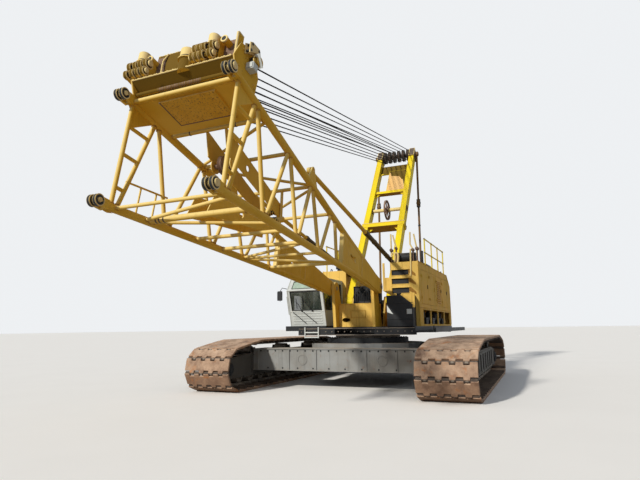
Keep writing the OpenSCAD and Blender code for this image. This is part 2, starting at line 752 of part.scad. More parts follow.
// Clevis lugs with their pin bores across the boom, at the four chord ends
module boom_end_lugs() {
    color(machine_dark) difference() {
        boom_frame() for (side = [-1, 1], t = [-1, 1]) translate([0, side * end_y, t * end_h])
            difference() {
                union() {
                    for (e = [[-85, -35], [35, 85]]) {
                        shaft(lug_s, 0, 2 * lug_r, e[0], e[1]);
                        block(boom_l + 20, lug_s, e[0], e[1], -lug_r * 0.8, lug_r * 0.8);
                    }
                    block(boom_l - 15, boom_l + 36, -85, 85, -76, 76);
                }
                shaft(lug_s, 0, 80, -100, 100);
            }
        for (side = [-1, 1], t = [-1, 1]) side_plane(side)
            bar([8000, 0, t * chord_h(8000)], [boom_l + 1, 0, t * chord_h(boom_l + 1)], chord_d + 0.4);
    }
}

// Frame inside the boom: on each side two arms, from the cross tubes behind the end deck
// above and below, meet at a hub tube that posts hold between the next cross tubes
guide_s = 7040;
guide_h = 330;
hub_s = 5220;
module inner_arm(t, s, h) {
    difference() {
        polygon([[s + 20, t * (h + 20)], [s - 150, t * 430], [hub_s - 70, t * 40],
            [hub_s - 70, t * 330], [s - 420, t * (h - 90)]]);
        translate([6600, t * 470]) circle(r = 60);
    }
}
module inner_tubes() {
    for (t = [[7440, 1, 76], [7580, -1, 104], [5290, 1, 76], [5520, -1, 76]])
        shaft(t[0], t[1] * chord_h(t[0]), t[2] + 0.4, -700, 700);
}
module boom_inner_frame() {
    color(ochre) boom_frame() difference() {
        union() {
            both_sides() {
                plate(190, 206) difference() {
                    union() {
                        inner_arm(1, 7440, chord_h(7440));
                        inner_arm(-1, 7580, chord_h(7580));
                        translate([guide_s, guide_h]) circle(r = 130);
                    }
                    translate([guide_s, guide_h]) circle(r = 45.2);
                }
                bar([hub_s, 240, 0], [5290, 240, chord_h(5290)], 60);
                bar([hub_s, 240, 0], [5520, 240, -chord_h(5520)], 60);
            }
            shaft(hub_s, 0, 120, -300, 300);
            shaft(hub_s, 180, 76, -206, 206);
        }
        inner_tubes();
    }
}
module boom_guide_sheave() {
    color(dusty_rust) boom_frame() {
        sheave(guide_s, guide_h, 0, 180);
        shaft(guide_s, guide_h, 90, -230, 230);
    }
}

// Bridle: the spreader that the luffing ropes pull, lying on the boom's end
link_ys = [-1090, -960, -850, -740, 270, 360, 450, 600];
module bridle_frame() {
    color(ochre) boom_frame() difference() {
        union() {
            both_sides() {
                plate(1000, 1030) polygon([[7900, 960], [8440, 985], [8460, 1090], [8560, 1300],
                    [8420, 1640], [8000, 1700], [7850, 1350]]);
                shaft(bridle_s, bridle_h, 200, 1000, 1180);
            }
            // apron that slopes up to the front edge, on a cross tube, with the back plate
            plate(-1000, 1000) polygon([[8270, 1120], [8285, 1105], [8568, 1282], [8557, 1298]]);
            shaft(8400, 1110, 70, -1000, 1000);
            block(8345, 8370, -1000, 1000, 1150, 1640);
            block(8345, 8370, -720, 200, 1640, 1870);
            // hooked links in two groups on their pins
            for (link = link_ys) plate(link - 30, link + 30) {
                polygon([[8360, 1300], [8590, 1330], [8560, 1480], [8550, 1670], [8460, 1680], [8360, 1600]]);
                translate([8550, 1580]) circle(r = 95);
                translate([8600, 1400]) circle(r = 80);
            }
            for (y = [[-1140, -690], [220, 650]]) {
                shaft(8550, 1580, 76, y[0], y[1]);
                shaft(8600, 1400, 56, y[0], y[1]);
            }
            // upright rollers' housings, short stub tubes and the box at the left end
            shaft_z(8475, -930, 200, 1400, 1880);
            shaft_z(8475, 520, 180, 1400, 1860);
            shaft_z(8480, 40, 250, 1250, 1680);
            for (y = [-740, 760]) bar([8360, y, 1700], [8540, y, 1700], 120);
            block(8345, 8370, 600, 1000, 1640, 1800);
            block(8345, 8370, -1000, -720, 1640, 1760);
            block(8345, 8500, 975, 1000, 1150, 1800);
            block(8345, 8500, 640, 665, 1300, 1800);
        }
        boom_cut() chord_pair(1, 0.4);
        shaft(bridle_s, bridle_h, 120.4, -1065, 1065);
    }
}
module bridle_sheaves() {
    color(dusty_rust) boom_frame() {
        for (r = rope_ys) sheave(bridle_s, bridle_h, r[1]);
        shaft(bridle_s, bridle_h, 120, -1060, 1060);
    }
}

// Backstops: tubes pinned to the gantry legs, with rods that slide out to the boom
backstop_v = [backstop_b.x - backstop_a.x, backstop_b[1] - backstop_a[1]];
backstop_l = norm(backstop_v);
backstop_pitch = atan2(backstop_v[1], backstop_v[0]);
module backstop_frame() {
    crane() translate([backstop_a.x, 0, backstop_a[1]]) rotate([0, -backstop_pitch, 0]) children();
}
module backstop_tubes() {
    color(ochre) backstop_frame() both_sides() translate([0, backstop_y, 0]) difference() {
        union() {
            shaft(0, 0, 190, -45, 45);
            bar([0, 0, 0], [3700, 0, 0], 130);
            bar([3580, 0, 0], [3700, 0, 0], 150);
        }
        shaft(0, 0, 90.4, -100, 100);
        bar([300, 0, 0], [3800, 0, 0], 112);
    }
}
module backstop_rods() {
    color(ochre) backstop_frame() both_sides() translate([0, backstop_y, 0]) {
        bar([2550, 0, 0], [backstop_l, 0, 0], 100);
        shaft(backstop_l, 0, 140, -35, 35);
    }
}

// Luffing ropes: six pairs from the gantry head to the bridle
module luffing_ropes() {
    span = [bridle_c.x - gantry_head_x, bridle_c[1] - gantry_head_z];
    across = [-span[1], span[0]] / norm(span) * rope_r;
    color([0.05, 0.05, 0.05]) crane() for (r = rope_ys, t = [-1, 1])
        bar([gantry_head_x + t * across[0], r[0], gantry_head_z + t * across[1]],
            [bridle_c.x + t * across[0], r[1], bridle_c[1] + t * across[1]], rope_d);
}

carbody();
slew_ring_outer();
track_frames();
track_rollers();
track_wheels();
travel_gearboxes();
track_left();
track_right();
upper_frame();
slew_ring_inner();
foot_columns();
foot_pins();
centre_box();
house_left();
house_right();
house_door_left();
house_door_right();
engine();
side_tank();
walkways();
handrails();
cab_shell();
cab_glass();
cab_seat();
cab_door();
cab_fittings();
gantry_legs();
gantry_head();
gantry_links();
head_sheaves();
leg_sheave();
hoist_drum_front();
hoist_drum_rear();
luffing_drum();
drum_stands();
boom_side_left();
boom_side_right();
boom_lacing();
boom_end_deck();
boom_end_lugs();
boom_inner_frame();
boom_guide_sheave();
bridle_frame();
bridle_sheaves();
backstop_tubes();
backstop_rods();
luffing_ropes();
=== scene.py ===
import json
import math
import bmesh
import bpy
import numpy as np
from mathutils import Matrix, Vector


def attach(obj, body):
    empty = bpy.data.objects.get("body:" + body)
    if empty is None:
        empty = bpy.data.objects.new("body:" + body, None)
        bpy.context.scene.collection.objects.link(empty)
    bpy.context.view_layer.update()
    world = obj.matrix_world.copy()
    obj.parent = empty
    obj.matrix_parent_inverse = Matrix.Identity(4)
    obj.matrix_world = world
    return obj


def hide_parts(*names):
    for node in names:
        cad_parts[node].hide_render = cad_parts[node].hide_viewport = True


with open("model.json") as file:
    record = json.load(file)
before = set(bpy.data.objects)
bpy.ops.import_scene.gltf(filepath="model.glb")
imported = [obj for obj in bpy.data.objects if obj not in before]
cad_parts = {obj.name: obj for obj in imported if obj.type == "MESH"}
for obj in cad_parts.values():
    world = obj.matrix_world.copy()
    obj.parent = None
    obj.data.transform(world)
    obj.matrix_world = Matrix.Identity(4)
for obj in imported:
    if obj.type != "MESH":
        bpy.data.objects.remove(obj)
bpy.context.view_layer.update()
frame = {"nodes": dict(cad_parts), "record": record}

# Places of the joints and of the boom's own frame, in metres, as in the part's source
FRONT_REACH = 9.924194
TAIL_REACH = 5.06
SLEW_X = (TAIL_REACH - FRONT_REACH) / 2
BOOM_ANGLE = math.radians(11.67)
FOOT = np.array([1.152 + SLEW_X, 0.0, 2.8])
BOOM_L = 8.48
FOOT_Y, END_Y = 0.742, 1.051
FOOT_H, END_H = 0.09, 0.97
TRACK_Y = 3.055
HOUSE_Y, HOUSE_FRONT, ROOF_Z = 1.8, 0.6, 3.55
LACE_R = 0.038


def boom_place(points):
    """Boom frame (s along, y, h across) to the row frame: a turn about Y, then a shift."""
    p = np.asarray(points, float)
    s, y, h = p[..., 0], p[..., 1], p[..., 2]
    c, n = math.cos(BOOM_ANGLE), math.sin(BOOM_ANGLE)
    return np.stack([FOOT[0] + s * c - h * n, y, FOOT[2] + s * n + h * c], -1)


def chord_h(s):
    """Height of the chords off the boom's middle plane: straight from foot to end."""
    return FOOT_H + (END_H - FOOT_H) * s / BOOM_L


def chord_y(s):
    """Distance of the chords from the boom's vertical middle plane, straight from foot to end."""
    return FOOT_Y + (END_Y - FOOT_Y) * s / BOOM_L


# ---- camera, light and floor ----
def make_camera():
    """Camera from its eye point and its right and up axes, found from the photograph's edges."""
    right = Vector((-0.39807094, 0.91725753, -0.01334724))
    up = Vector((0.1514688, 0.08007044, 0.98521365))
    back = right.cross(up)
    eye = Vector((12.89153, 5.02383, 1.65))
    data = bpy.data.cameras.new("camera")
    data.sensor_width = 36.0
    data.lens = 36.0 * 504.6886 / 640.0
    data.clip_end = 500.0
    obj = bpy.data.objects.new("camera", data)
    obj.matrix_world = Matrix((
        (right.x, up.x, back.x, eye.x), (right.y, up.y, back.y, eye.y),
        (right.z, up.z, back.z, eye.z), (0, 0, 0, 1)))
    bpy.context.scene.collection.objects.link(obj)
    bpy.context.scene.camera = obj


def make_lamp(name, kind, aim_from, strength, **settings):
    """Lamp that shines from the direction aim_from towards the origin."""
    data = bpy.data.lights.new(name, kind)
    data.energy = strength
    for key, value in settings.items():
        setattr(data, key, value)
    obj = bpy.data.objects.new(name, data)
    way = Vector(aim_from).normalized()
    obj.matrix_world = way.to_track_quat("Z", "Y").to_matrix().to_4x4()
    obj.location = way * 30.0
    bpy.context.scene.collection.objects.link(obj)


# ---- shader expressions ----
class Channel:
    """A number socket; Python's operators on it add Math nodes."""

    def __init__(self, tree, socket):
        self.tree, self.socket = tree, socket

    def math(self, operation, *values):
        node = self.tree.nodes.new("ShaderNodeMath")
        node.operation = operation
        for slot, value in zip(node.inputs, values):
            if isinstance(value, Channel):
                self.tree.links.new(value.socket, slot)
            else:
                slot.default_value = value
        return Channel(self.tree, node.outputs[0])

    def __add__(self, other): return self.math("ADD", self, other)
    def __radd__(self, other): return self.math("ADD", other, self)
    def __sub__(self, other): return self.math("SUBTRACT", self, other)
    def __rsub__(self, other): return self.math("SUBTRACT", other, self)
    def __mul__(self, other): return self.math("MULTIPLY", self, other)
    def __rmul__(self, other): return self.math("MULTIPLY", other, self)
    def __abs__(self): return self.math("ABSOLUTE", self)
    def least(self, other): return self.math("MINIMUM", self, other)
    def most(self, other): return self.math("MAXIMUM", self, other)

    def step(self, low, high):
        """0 below low, 1 above high, straight between."""
        part = (self - low) * (1.0 / (high - low))
        return part.most(0.0).least(1.0)


class Nodes:
    """A node tree being written."""

    def __init__(self, tree):
        self.tree = tree
        tree.nodes.clear()

    def node(self, kind, settings=None, inputs=None):
        """Any node: its settings first, then values or links for its sockets; gives its outputs."""
        node = self.tree.nodes.new(kind)
        for key, value in (settings or {}).items():
            setattr(node, key, value)
        for key, value in (inputs or {}).items():
            slot = node.inputs[key]
            if isinstance(value, Channel):
                self.tree.links.new(value.socket, slot)
            else:
                if isinstance(value, tuple) and len(value) == 3 and slot.type == "RGBA":
                    value = (*value, 1.0)
                slot.default_value = value
        return {out.name: Channel(self.tree, out) for out in node.outputs if out.enabled}

    def seen(self):
        """1 for what the camera sees, also by way of gloss or glass, and 0 for light on the object."""
        path = self.node("ShaderNodeLightPath")
        return path["Is Camera Ray"].most(path["Is Glossy Ray"]).most(path["Is Transmission Ray"])


class Finish(Nodes):
    """A material being written: patterns and mixes in its tree."""

    def __init__(self, name):
        self.material = bpy.data.materials.new(name)
        self.material.use_nodes = True
        super().__init__(self.material.node_tree)
        self.place = self.node("ShaderNodeTexCoord")["Object"]
        self.facing = self.node("ShaderNodeTexCoord")["Normal"]

    def xyz(self, vector):
        """The three numbers of a vector."""
        parts = self.node("ShaderNodeSeparateXYZ", None, {"Vector": vector})
        return parts["X"], parts["Y"], parts["Z"]

    def stretch(self, scale):
        """Object coordinates stretched by a number for each axis."""
        return self.node("ShaderNodeMapping", {"vector_type": "POINT"},
                         {"Vector": self.place, "Scale": scale})["Vector"]

    def noise(self, scale, detail=4.0, rough=0.55, where=None, warp=0.0):
        """Fractal noise from 0 to 1 on Object coordinates, or on the vector where."""
        out = self.node("ShaderNodeTexNoise", None, {
            "Vector": where or self.place, "Scale": scale, "Detail": detail,
            "Roughness": rough, "Distortion": warp})
        return out["Fac"] if "Fac" in out else out["Factor"]

    def blend(self, share, first, second):
        """Colour first where share is 0, second where it is 1."""
        node = self.tree.nodes.new("ShaderNodeMix")
        node.data_type = "RGBA"
        slots = {s.identifier: s for s in node.inputs}
        for key, value in (("Factor_Float", share), ("A_Color", first), ("B_Color", second)):
            if isinstance(value, Channel):
                self.tree.links.new(value.socket, slots[key])
            else:
                slots[key].default_value = value if isinstance(value, float) else (*value, 1.0)
        out = next(s for s in node.outputs if s.identifier == "Result_Color")
        return Channel(self.tree, out)

    def bump(self, height, strength, distance):
        return self.node("ShaderNodeBump", None,
                         {"Height": height, "Strength": strength, "Distance": distance})["Normal"]

    def close(self, **inputs):
        """Ends in a Principled shader; names with _ stand for its sockets."""
        shader = self.node("ShaderNodeBsdfPrincipled", None,
                           {k.replace("_", " "): v for k, v in inputs.items()})
        self.node("ShaderNodeOutputMaterial", None, {"Surface": shader["BSDF"]})
        return self.material


RUST = (0.105, 0.04, 0.018)
RUST_PALE = (0.23, 0.105, 0.05)
DUST = (0.43, 0.37, 0.29)
SUNLIT_CREAM = (0.82, 0.66, 0.27)


def darker(colour, share):
    """Colour times a share."""
    return tuple(c * share for c in colour)


def weathered(name, base, worn, rust=0.3, dust=0.25, streak=0.3, gloss=0.55, grain=1.0, soot=None,
              bleach=0.0, grime=0.0):
    """Old paint: two shades in clouds, streaks down the sides, rust chips, dust on top faces.

    Painted light pales the faces turned towards the key lamp, painted shade darkens the forward ones,
    behind X soot it is black."""
    f = Finish(name)
    ahead, left, up = f.xyz(f.facing)
    clouds = f.noise(0.9 * grain, 5.0)
    fine = f.noise(14.0 * grain, 6.0, 0.65)
    colour = f.blend(clouds.step(0.38, 0.66), base, worn)
    # painted light: faces turned towards the key lamp (ahead, to its side and up) go pale cream
    if bleach:
        sunlit_facing = up * 0.45 + ahead * 0.75 - left * 0.35 + clouds * 0.3
        colour = f.blend(sunlit_facing.step(0.2, 0.9) * bleach, colour, SUNLIT_CREAM)
    runs = f.noise(5.0 * grain, 5.0, 0.6, f.stretch((2.6, 2.6, 0.16)))
    side = 1.0 - abs(up)
    colour = f.blend((runs.step(0.54, 0.78) * side * streak), colour, darker(base, 0.36))
    chips = f.noise(7.0 * grain, 9.0, 0.74, None, 0.6)
    chip = (chips + (fine - 0.5) * 0.12).step(0.7 - 0.1 * rust, 0.735 - 0.1 * rust)
    halo = (chips + (fine - 0.5) * 0.1).step(0.64 - 0.1 * rust, 0.735 - 0.1 * rust)
    colour = f.blend(halo * 0.55, colour, tuple(0.5 * c + 0.5 * r for c, r in zip(base, RUST_PALE)))
    colour = f.blend(chip, colour, f.blend(fine.step(0.35, 0.65), RUST, RUST_PALE))
    top = (up.step(0.45, 0.9) * (0.35 + clouds)).step(0.25, 1.2) * dust * 2.0
    colour = f.blend((top + (fine - 0.5) * 0.2 * dust).most(0.0).least(0.85), colour, DUST)
    # painted shade: faces turned forwards are darkened towards a deep brown
    if grime:
        colour = f.blend(ahead.step(0.35, 0.65) * grime, colour, darker(base, 0.19))
    if soot is not None:
        behind = 1.0 - f.xyz(f.place)[0].step(soot - 0.06, soot + 0.06)
        colour = f.blend(behind * 0.92, colour, (0.022, 0.019, 0.017))
    rough = gloss + clouds * 0.16 + chip * 0.35 + top * 0.25
    relief = fine * 0.25 + (1.0 - chip) * 0.9 + clouds * 0.2
    return f.close(Base_Color=colour, Roughness=rough.least(0.95),
                   Normal=f.bump(relief, 0.35, 0.004), Specular_IOR_Level=0.18)


def rusty(name, dark, pale, dusty, rough=0.82, shine=0.0, patch=None):
    """Bare steel left outside: rust in fine clouds, dust in the hollows and on top faces.

    patch is the colour of spots of fresh rust."""
    f = Finish(name)
    up = f.xyz(f.facing)[2]
    clouds = f.noise(3.2, 7.0, 0.68)
    grit = f.noise(38.0, 5.0, 0.7)
    colour = f.blend(clouds.step(0.36, 0.66), dark, pale)
    colour = f.blend(((up + 0.6).step(0.2, 1.4) * clouds.step(0.3, 0.62)) * 0.75, colour, dusty)
    if patch:
        fresh = f.noise(2.6, 8.0, 0.72, None, 0.8)
        colour = f.blend(fresh.step(0.55, 0.66) * 0.8, colour, patch)
        colour = f.blend((1.0 - fresh.step(0.33, 0.42)) * 0.7, colour, dark)
    colour = f.blend((grit.step(0.58, 0.72)) * 0.35, colour, darker(dark, 0.5))
    return f.close(Base_Color=colour, Roughness=(rough - 0.12 + grit * 0.24).least(0.98),
                   Metallic=shine, Normal=f.bump(grit * 0.7 + clouds, 0.5, 0.006))


def greasy(name, base, sheen=0.38):
    """Black machine enamel under grease and dust: smeared clouds, dull where dust has stuck."""
    f = Finish(name)
    up = f.xyz(f.facing)[2]
    smear = f.noise(2.4, 7.0, 0.7, f.stretch((1.0, 1.0, 0.4)))
    speck = f.noise(46.0, 4.0, 0.6)
    colour = f.blend(smear.step(0.4, 0.72), base, tuple(0.014 + c for c in base))
    sit = (up.step(0.3, 0.9) * smear.step(0.35, 0.6)) * 0.45
    colour = f.blend(sit, colour, (0.15, 0.13, 0.105))
    colour = f.blend(speck.step(0.66, 0.74) * 0.6, colour, RUST)
    return f.close(Base_Color=colour, Roughness=(sheen + smear * 0.3 + sit * 0.4).least(0.95),
                   Specular_IOR_Level=0.22, Normal=f.bump(speck * 0.5 + smear, 0.3, 0.003))


def glazing(name):
    """Tinted safety glass under a cloudy dust film; the pane above the screen is pale green."""
    f = Finish(name)
    film = f.noise(5.0, 6.0, 0.7, f.stretch((1.0, 1.0, 0.5)))
    x, y, z = f.xyz(f.place)
    roof = z.step(2.8, 2.83) * x.step(SLEW_X + 0.6, SLEW_X + 0.7) * (1.0 - y.step(-1.24, -1.2))
    pane = f.blend(film.step(0.4, 0.7), (0.035, 0.05, 0.042), (0.12, 0.14, 0.12))
    return f.close(Base_Color=f.blend(roof, pane, (0.4, 0.52, 0.42)),
                   Roughness=0.06 + film.step(0.45, 0.8) * 0.25,
                   Alpha=0.5 + film.step(0.4, 0.75) * 0.22 + roof * 0.25, Specular_IOR_Level=0.6)


def cloth(name, base):
    """Woven seat cloth: crossed threads as fine waves in two directions, darker where worn."""
    f = Finish(name)
    weave = f.noise(260.0, 2.0, 0.5)
    wear = f.noise(4.0, 5.0)
    return f.close(Base_Color=f.blend(wear.step(0.4, 0.7), base, darker(base, 1.9)),
                   Roughness=0.86 + weave * 0.1, Normal=f.bump(weave, 0.6, 0.002))


def wire(name):
    """Greased steel rope: fine dark grain with dull grey where the grease has worn."""
    f = Finish(name)
    worn = f.noise(3.0, 6.0, 0.7)
    strand = f.noise(120.0, 2.0, 0.5)
    return f.close(Base_Color=f.blend(worn.step(0.45, 0.75), (0.008, 0.007, 0.007),
                                      (0.035, 0.031, 0.027)), Roughness=0.7 + strand * 0.25,
                   Specular_IOR_Level=0.1, Normal=f.bump(strand, 0.6, 0.003))


def lens(name):
    """Lamp front: pale ribbed glass with a dusty film."""
    f = Finish(name)
    film = f.noise(20.0, 4.0)
    return f.close(Base_Color=f.blend(film, (0.62, 0.62, 0.58), (0.45, 0.43, 0.38)),
                   Roughness=0.25 + film * 0.2)


OCHRE = (0.66, 0.37, 0.028)
OCHRE_WORN = (0.73, 0.44, 0.06)
LEMON = (0.8, 0.64, 0.012)
LEMON_WORN = (0.74, 0.54, 0.03)
ORANGE = (0.7, 0.385, 0.028)
ORANGE_WORN = (0.62, 0.375, 0.035)
finishes = {}


def mix(maker, name, *values, **more):
    """A finish, kept under its name."""
    finishes[name] = maker(name, *values, **more)


mix(weathered, "boom_ochre", OCHRE, OCHRE_WORN, 0.25, 0.06, 0.3, bleach=0.8)
mix(weathered, "gantry_yellow", LEMON, LEMON_WORN, 0.05, 0.05, 0.25, 0.45)
mix(weathered, "house_yellow", ORANGE, ORANGE_WORN, 0.2, 0.12, 0.85, bleach=0.35)
mix(weathered, "cab_grey", (0.62, 0.66, 0.66), (0.54, 0.57, 0.56), 0.1, 0.15, 0.4, 0.45)
mix(weathered, "undercarriage_grey", (0.3, 0.31, 0.31), (0.21, 0.2, 0.18), 0.6, 0.6, 0.5)
mix(greasy, "machine_dark", (0.011, 0.013, 0.016))
mix(rusty, "track_rust", (0.1, 0.055, 0.035), (0.21, 0.115, 0.07), (0.36, 0.27, 0.2))
mix(rusty, "worn_steel", (0.13, 0.11, 0.09), (0.26, 0.22, 0.18), (0.3, 0.25, 0.2), 0.6, 0.4)
mix(wire, "rope_steel")
mix(glazing, "cab_glazing")
mix(cloth, "seat_cloth", (0.03, 0.03, 0.033))
mix(weathered, "weld_bead", (0.55, 0.29, 0.045), (0.42, 0.21, 0.04), 0.75, 0.1, 0.3, bleach=0.3)
mix(weathered, "cream", (0.78, 0.61, 0.32), (0.66, 0.46, 0.19), 0.5, 0.05, 0.25, bleach=0.8)
mix(weathered, "freckled", (0.66, 0.345, 0.03), (0.72, 0.4, 0.05), 1.35, 0.0, 0.0, 0.6, 5.0)
mix(weathered, "backstop_paint", OCHRE, OCHRE_WORN, 0.4, 0.06, 0.3, soot=SLEW_X + 3.2, bleach=0.5)
# bridle paint: painted shade on its forward faces, painted light on faces towards the key lamp
mix(weathered, "bridle_paint", OCHRE, OCHRE_WORN, 0.9, 0.06, 0.4, 0.9, bleach=0.6, grime=0.95)
mix(weathered, "link_brown", (0.17, 0.1, 0.045), (0.25, 0.155, 0.07), 0.6, 0.1, 0.3)
mix(rusty, "sheave_dark", (0.03, 0.019, 0.014), (0.085, 0.055, 0.04), (0.15, 0.115, 0.085), 0.7)
mix(rusty, "shoe_rust", (0.17, 0.095, 0.06), (0.38, 0.235, 0.15), (0.62, 0.45, 0.32),
    patch=(0.4, 0.155, 0.045))
mix(weathered, "frame_grey", (0.1, 0.098, 0.092), (0.075, 0.07, 0.062), 0.5, 0.5, 0.4)
mix(weathered, "olive", (0.125, 0.08, 0.012), (0.16, 0.105, 0.018), 0.3, 0.0, 0.4, 0.8)
# painted shade colour, for the gantry's undersides and the shadows beside the house's slots
mix(weathered, "umber", (0.26, 0.12, 0.015), (0.33, 0.17, 0.03), 0.5, 0.0, 0.3)
mix(wire, "pale_rope")
mix(weathered, "louvre", (0.58, 0.31, 0.035), (0.5, 0.28, 0.06), 0.5, 0.3, 0.5)
mix(weathered, "peach", (0.8, 0.48, 0.17), (0.72, 0.46, 0.2), 0.3, 0.1, 0.25)
mix(lens, "lens")
make_camera()

# CAD nodes whose finish isn't the one that their slot names
OWN_FINISH = {"track_frames": "frame_grey", "backstop_tubes": "backstop_paint",
              "bridle_frame": "bridle_paint", "gantry_links": "link_brown",
              "gantry_head": "sheave_dark", "head_sheaves": "sheave_dark",
              "bridle_sheaves": "sheave_dark"}


def dress_nodes():
    """Each CAD node's object takes the finish that its material slot names, or its own."""
    slots = {part["node"]: part["material_slot"] for part in frame["record"]["subparts"]}
    for name, obj in frame["nodes"].items():
        finish = finishes[OWN_FINISH.get(name, slots[name])]
        if not obj.material_slots:
            obj.data.materials.append(finish)
        for slot in obj.material_slots:
            slot.link = "OBJECT"
            slot.material = finish


dress_nodes()


# ---- pieces: numpy surfaces gathered in forms ----
GANTRY_FOOT = np.array([-0.35 + SLEW_X, 0.0, 2.45])
GANTRY_LEAN = math.atan2(4.25, 6.21)
GANTRY_L = math.hypot(4.25, 6.21)
LEG_Y, LEG_SHEAVE_L = 0.66, 4.28
BRIDLE_S, BRIDLE_H = 8.08, 1.49
HEAD = np.array([-4.6 + SLEW_X, 0.0, 8.66])
ROPE_RUNS = ((0.48, 0.66), (0.29, 0.38), (0.1, 0.13))


def crane_place(points):
    """Crane frame, with the slewing axis at X 0, to the row frame: a shift."""
    return np.asarray(points, float) + (SLEW_X, 0.0, 0.0)


def row_place(points):
    """Points that are in the row frame already."""
    return np.asarray(points, float)


def gantry_place(points):
    """Gantry frame (x ahead of the legs, y, length from the foot) to the row frame: a turn about Y."""
    p = np.asarray(points, float)
    x, y, l = p[..., 0], p[..., 1], p[..., 2]
    c, n = math.cos(GANTRY_LEAN), math.sin(GANTRY_LEAN)
    return np.stack([GANTRY_FOOT[0] + x * c - l * n, y, GANTRY_FOOT[2] + x * n + l * c], -1)


def along(points):
    """Distance of each point from the first, measured along the path."""
    return np.concatenate([[0.0], np.cumsum(np.linalg.norm(np.diff(points, axis=0), axis=1))])


def unit(v):
    """Vectors divided by their lengths."""
    return v / np.linalg.norm(v, axis=-1, keepdims=True)


def across(w):
    """Two unit directions square to w and to each other."""
    u = unit(np.cross(w, (0.0, 1.0, 0.0) if abs(w[1]) < 0.9 else (0.0, 0.0, 1.0)))
    return u, np.cross(w, u)


class Form:
    """Closed surfaces gathered from numpy grids in one frame, which place takes to the row frame."""

    def __init__(self, place=crane_place):
        self.place, self.points, self.faces, self.count = place, [], [], 0

    def rings(self, grid, looped=False):
        """Surface through n rings of m points, grid (n, m, 3): closed by end faces, or looped."""
        n, m = grid.shape[:2]
        index = np.arange(n * m).reshape(n, m) + self.count
        rows = np.vstack([index, index[:1]]) if looped else index
        turn = np.roll(rows, -1, 1)
        quads = np.stack([rows[:-1], turn[:-1], turn[1:], rows[1:]], -1)
        self.faces += quads.reshape(-1, 4).tolist()
        if not looped:
            self.faces += [index[0, ::-1].tolist(), index[-1].tolist()]
        self.points.append(grid.reshape(-1, 3))
        self.count += n * m
        return self

    def tube(self, path, radius, sides=12, looped=False):
        """Round bar: rings c + r(u cos t + v sin t), u and v carried along the path untwisted."""
        path = np.asarray(path, float)
        run = np.roll(path, -1, 0) - np.roll(path, 1, 0) if looped else np.gradient(path, axis=0)
        run = unit(run)
        radius = np.broadcast_to(radius, len(path))
        t = np.arange(sides) * 2 * math.pi / sides
        u, grid = across(run[0])[0], []
        for c, w, r in zip(path, run, radius):
            u = unit(u - w * (u @ w))
            v = np.cross(w, u)
            grid.append(c + r * (np.cos(t)[:, None] * u + np.sin(t)[:, None] * v))
        return self.rings(np.array(grid), looped)

    def turned(self, profile, origin, axis, sides=24, looped=False):
        """Profile of (radius, height) rows turned about the axis through origin."""
        w = unit(np.asarray(axis, float))
        u, v = across(w)
        t = (np.arange(sides) + 0.5) * 2 * math.pi / sides
        profile = np.asarray(profile, float)
        ring = np.cos(t)[:, None] * u + np.sin(t)[:, None] * v
        grid = (np.asarray(origin, float) + profile[:, None, 1:] * w
                + profile[:, None, :1] * ring[None])
        return self.rings(grid, looped)

    def slab(self, outline, low, high, axis=1, edge=0.003):
        """Outline extruded along an axis (0, 1 or 2) between two places, its rims chamfered by edge."""
        low, high = min(low, high), max(low, high)
        o = np.asarray(outline, float)
        run = unit(np.roll(o, -1, 0) - o)
        last = np.roll(run, 1, 0)
        area = np.sum(o[:, 0] * np.roll(o[:, 1], -1) - np.roll(o[:, 0], -1) * o[:, 1])
        side = np.stack([-run[:, 1], run[:, 0]], -1) * np.sign(area)
        side_last = np.stack([-last[:, 1], last[:, 0]], -1) * np.sign(area)
        inward = (side + side_last) / (1.0 + np.sum(side * side_last, -1, keepdims=True)).clip(0.3)
        grid = []
        for ring, t in ((o + inward * edge, low), (o, low + edge), (o, high - edge),
                        (o + inward * edge, high)):
            grid.append(np.insert(ring, axis, t, axis=1))
        return self.rings(np.array(grid))

    def loop(self, corners, radius):
        """Closed bead through the corners."""
        return self.tube(corners, radius, 8, True)

    def box(self, corner, opposite, edge=0.003):
        """Block between two opposite corners."""
        (x0, y0, z0), (x1, y1, z1) = np.minimum(corner, opposite), np.maximum(corner, opposite)
        return self.slab([(x0, z0), (x1, z0), (x1, z1), (x0, z1)], y0, y1, 1, edge)

    def ring(self, origin, axis, inner, outer, thick, sides=24):
        """Flat ring with rounded rims, from origin out along the axis."""
        e = min(thick, outer - inner) * 0.25
        return self.turned([(inner, 0), (outer, 0), (outer, thick - e), (outer - e, thick),
                            (inner + e, thick), (inner, thick - e)], origin, axis, sides, True)

    def disc(self, origin, axis, radius, thick, sides=24):
        """Flat disc with a bevelled outer rim."""
        e = min(thick, radius) * 0.3
        return self.turned([(radius, 0), (radius, thick - e), (radius - e, thick)], origin, axis, sides)

    def bolt(self, origin, axis, size=0.016):
        """Washer and hexagon head."""
        w = unit(np.asarray(axis, float))
        self.turned([(size * 1.35, 0), (size * 1.35, size * 0.2)], origin, w, 10)
        return self.turned([(size, size * 0.2), (size, size * 0.75), (size * 0.8, size * 0.9)], origin,
                           w, 6)

    def bolt_circle(self, origin, axis, radius, count, size=0.016):
        """Bolts shared evenly round a circle."""
        u, v = across(unit(np.asarray(axis, float)))
        for a in np.arange(count) * 2 * math.pi / count:
            self.bolt(np.asarray(origin) + radius * (math.cos(a) * u + math.sin(a) * v), axis, size)
        return self


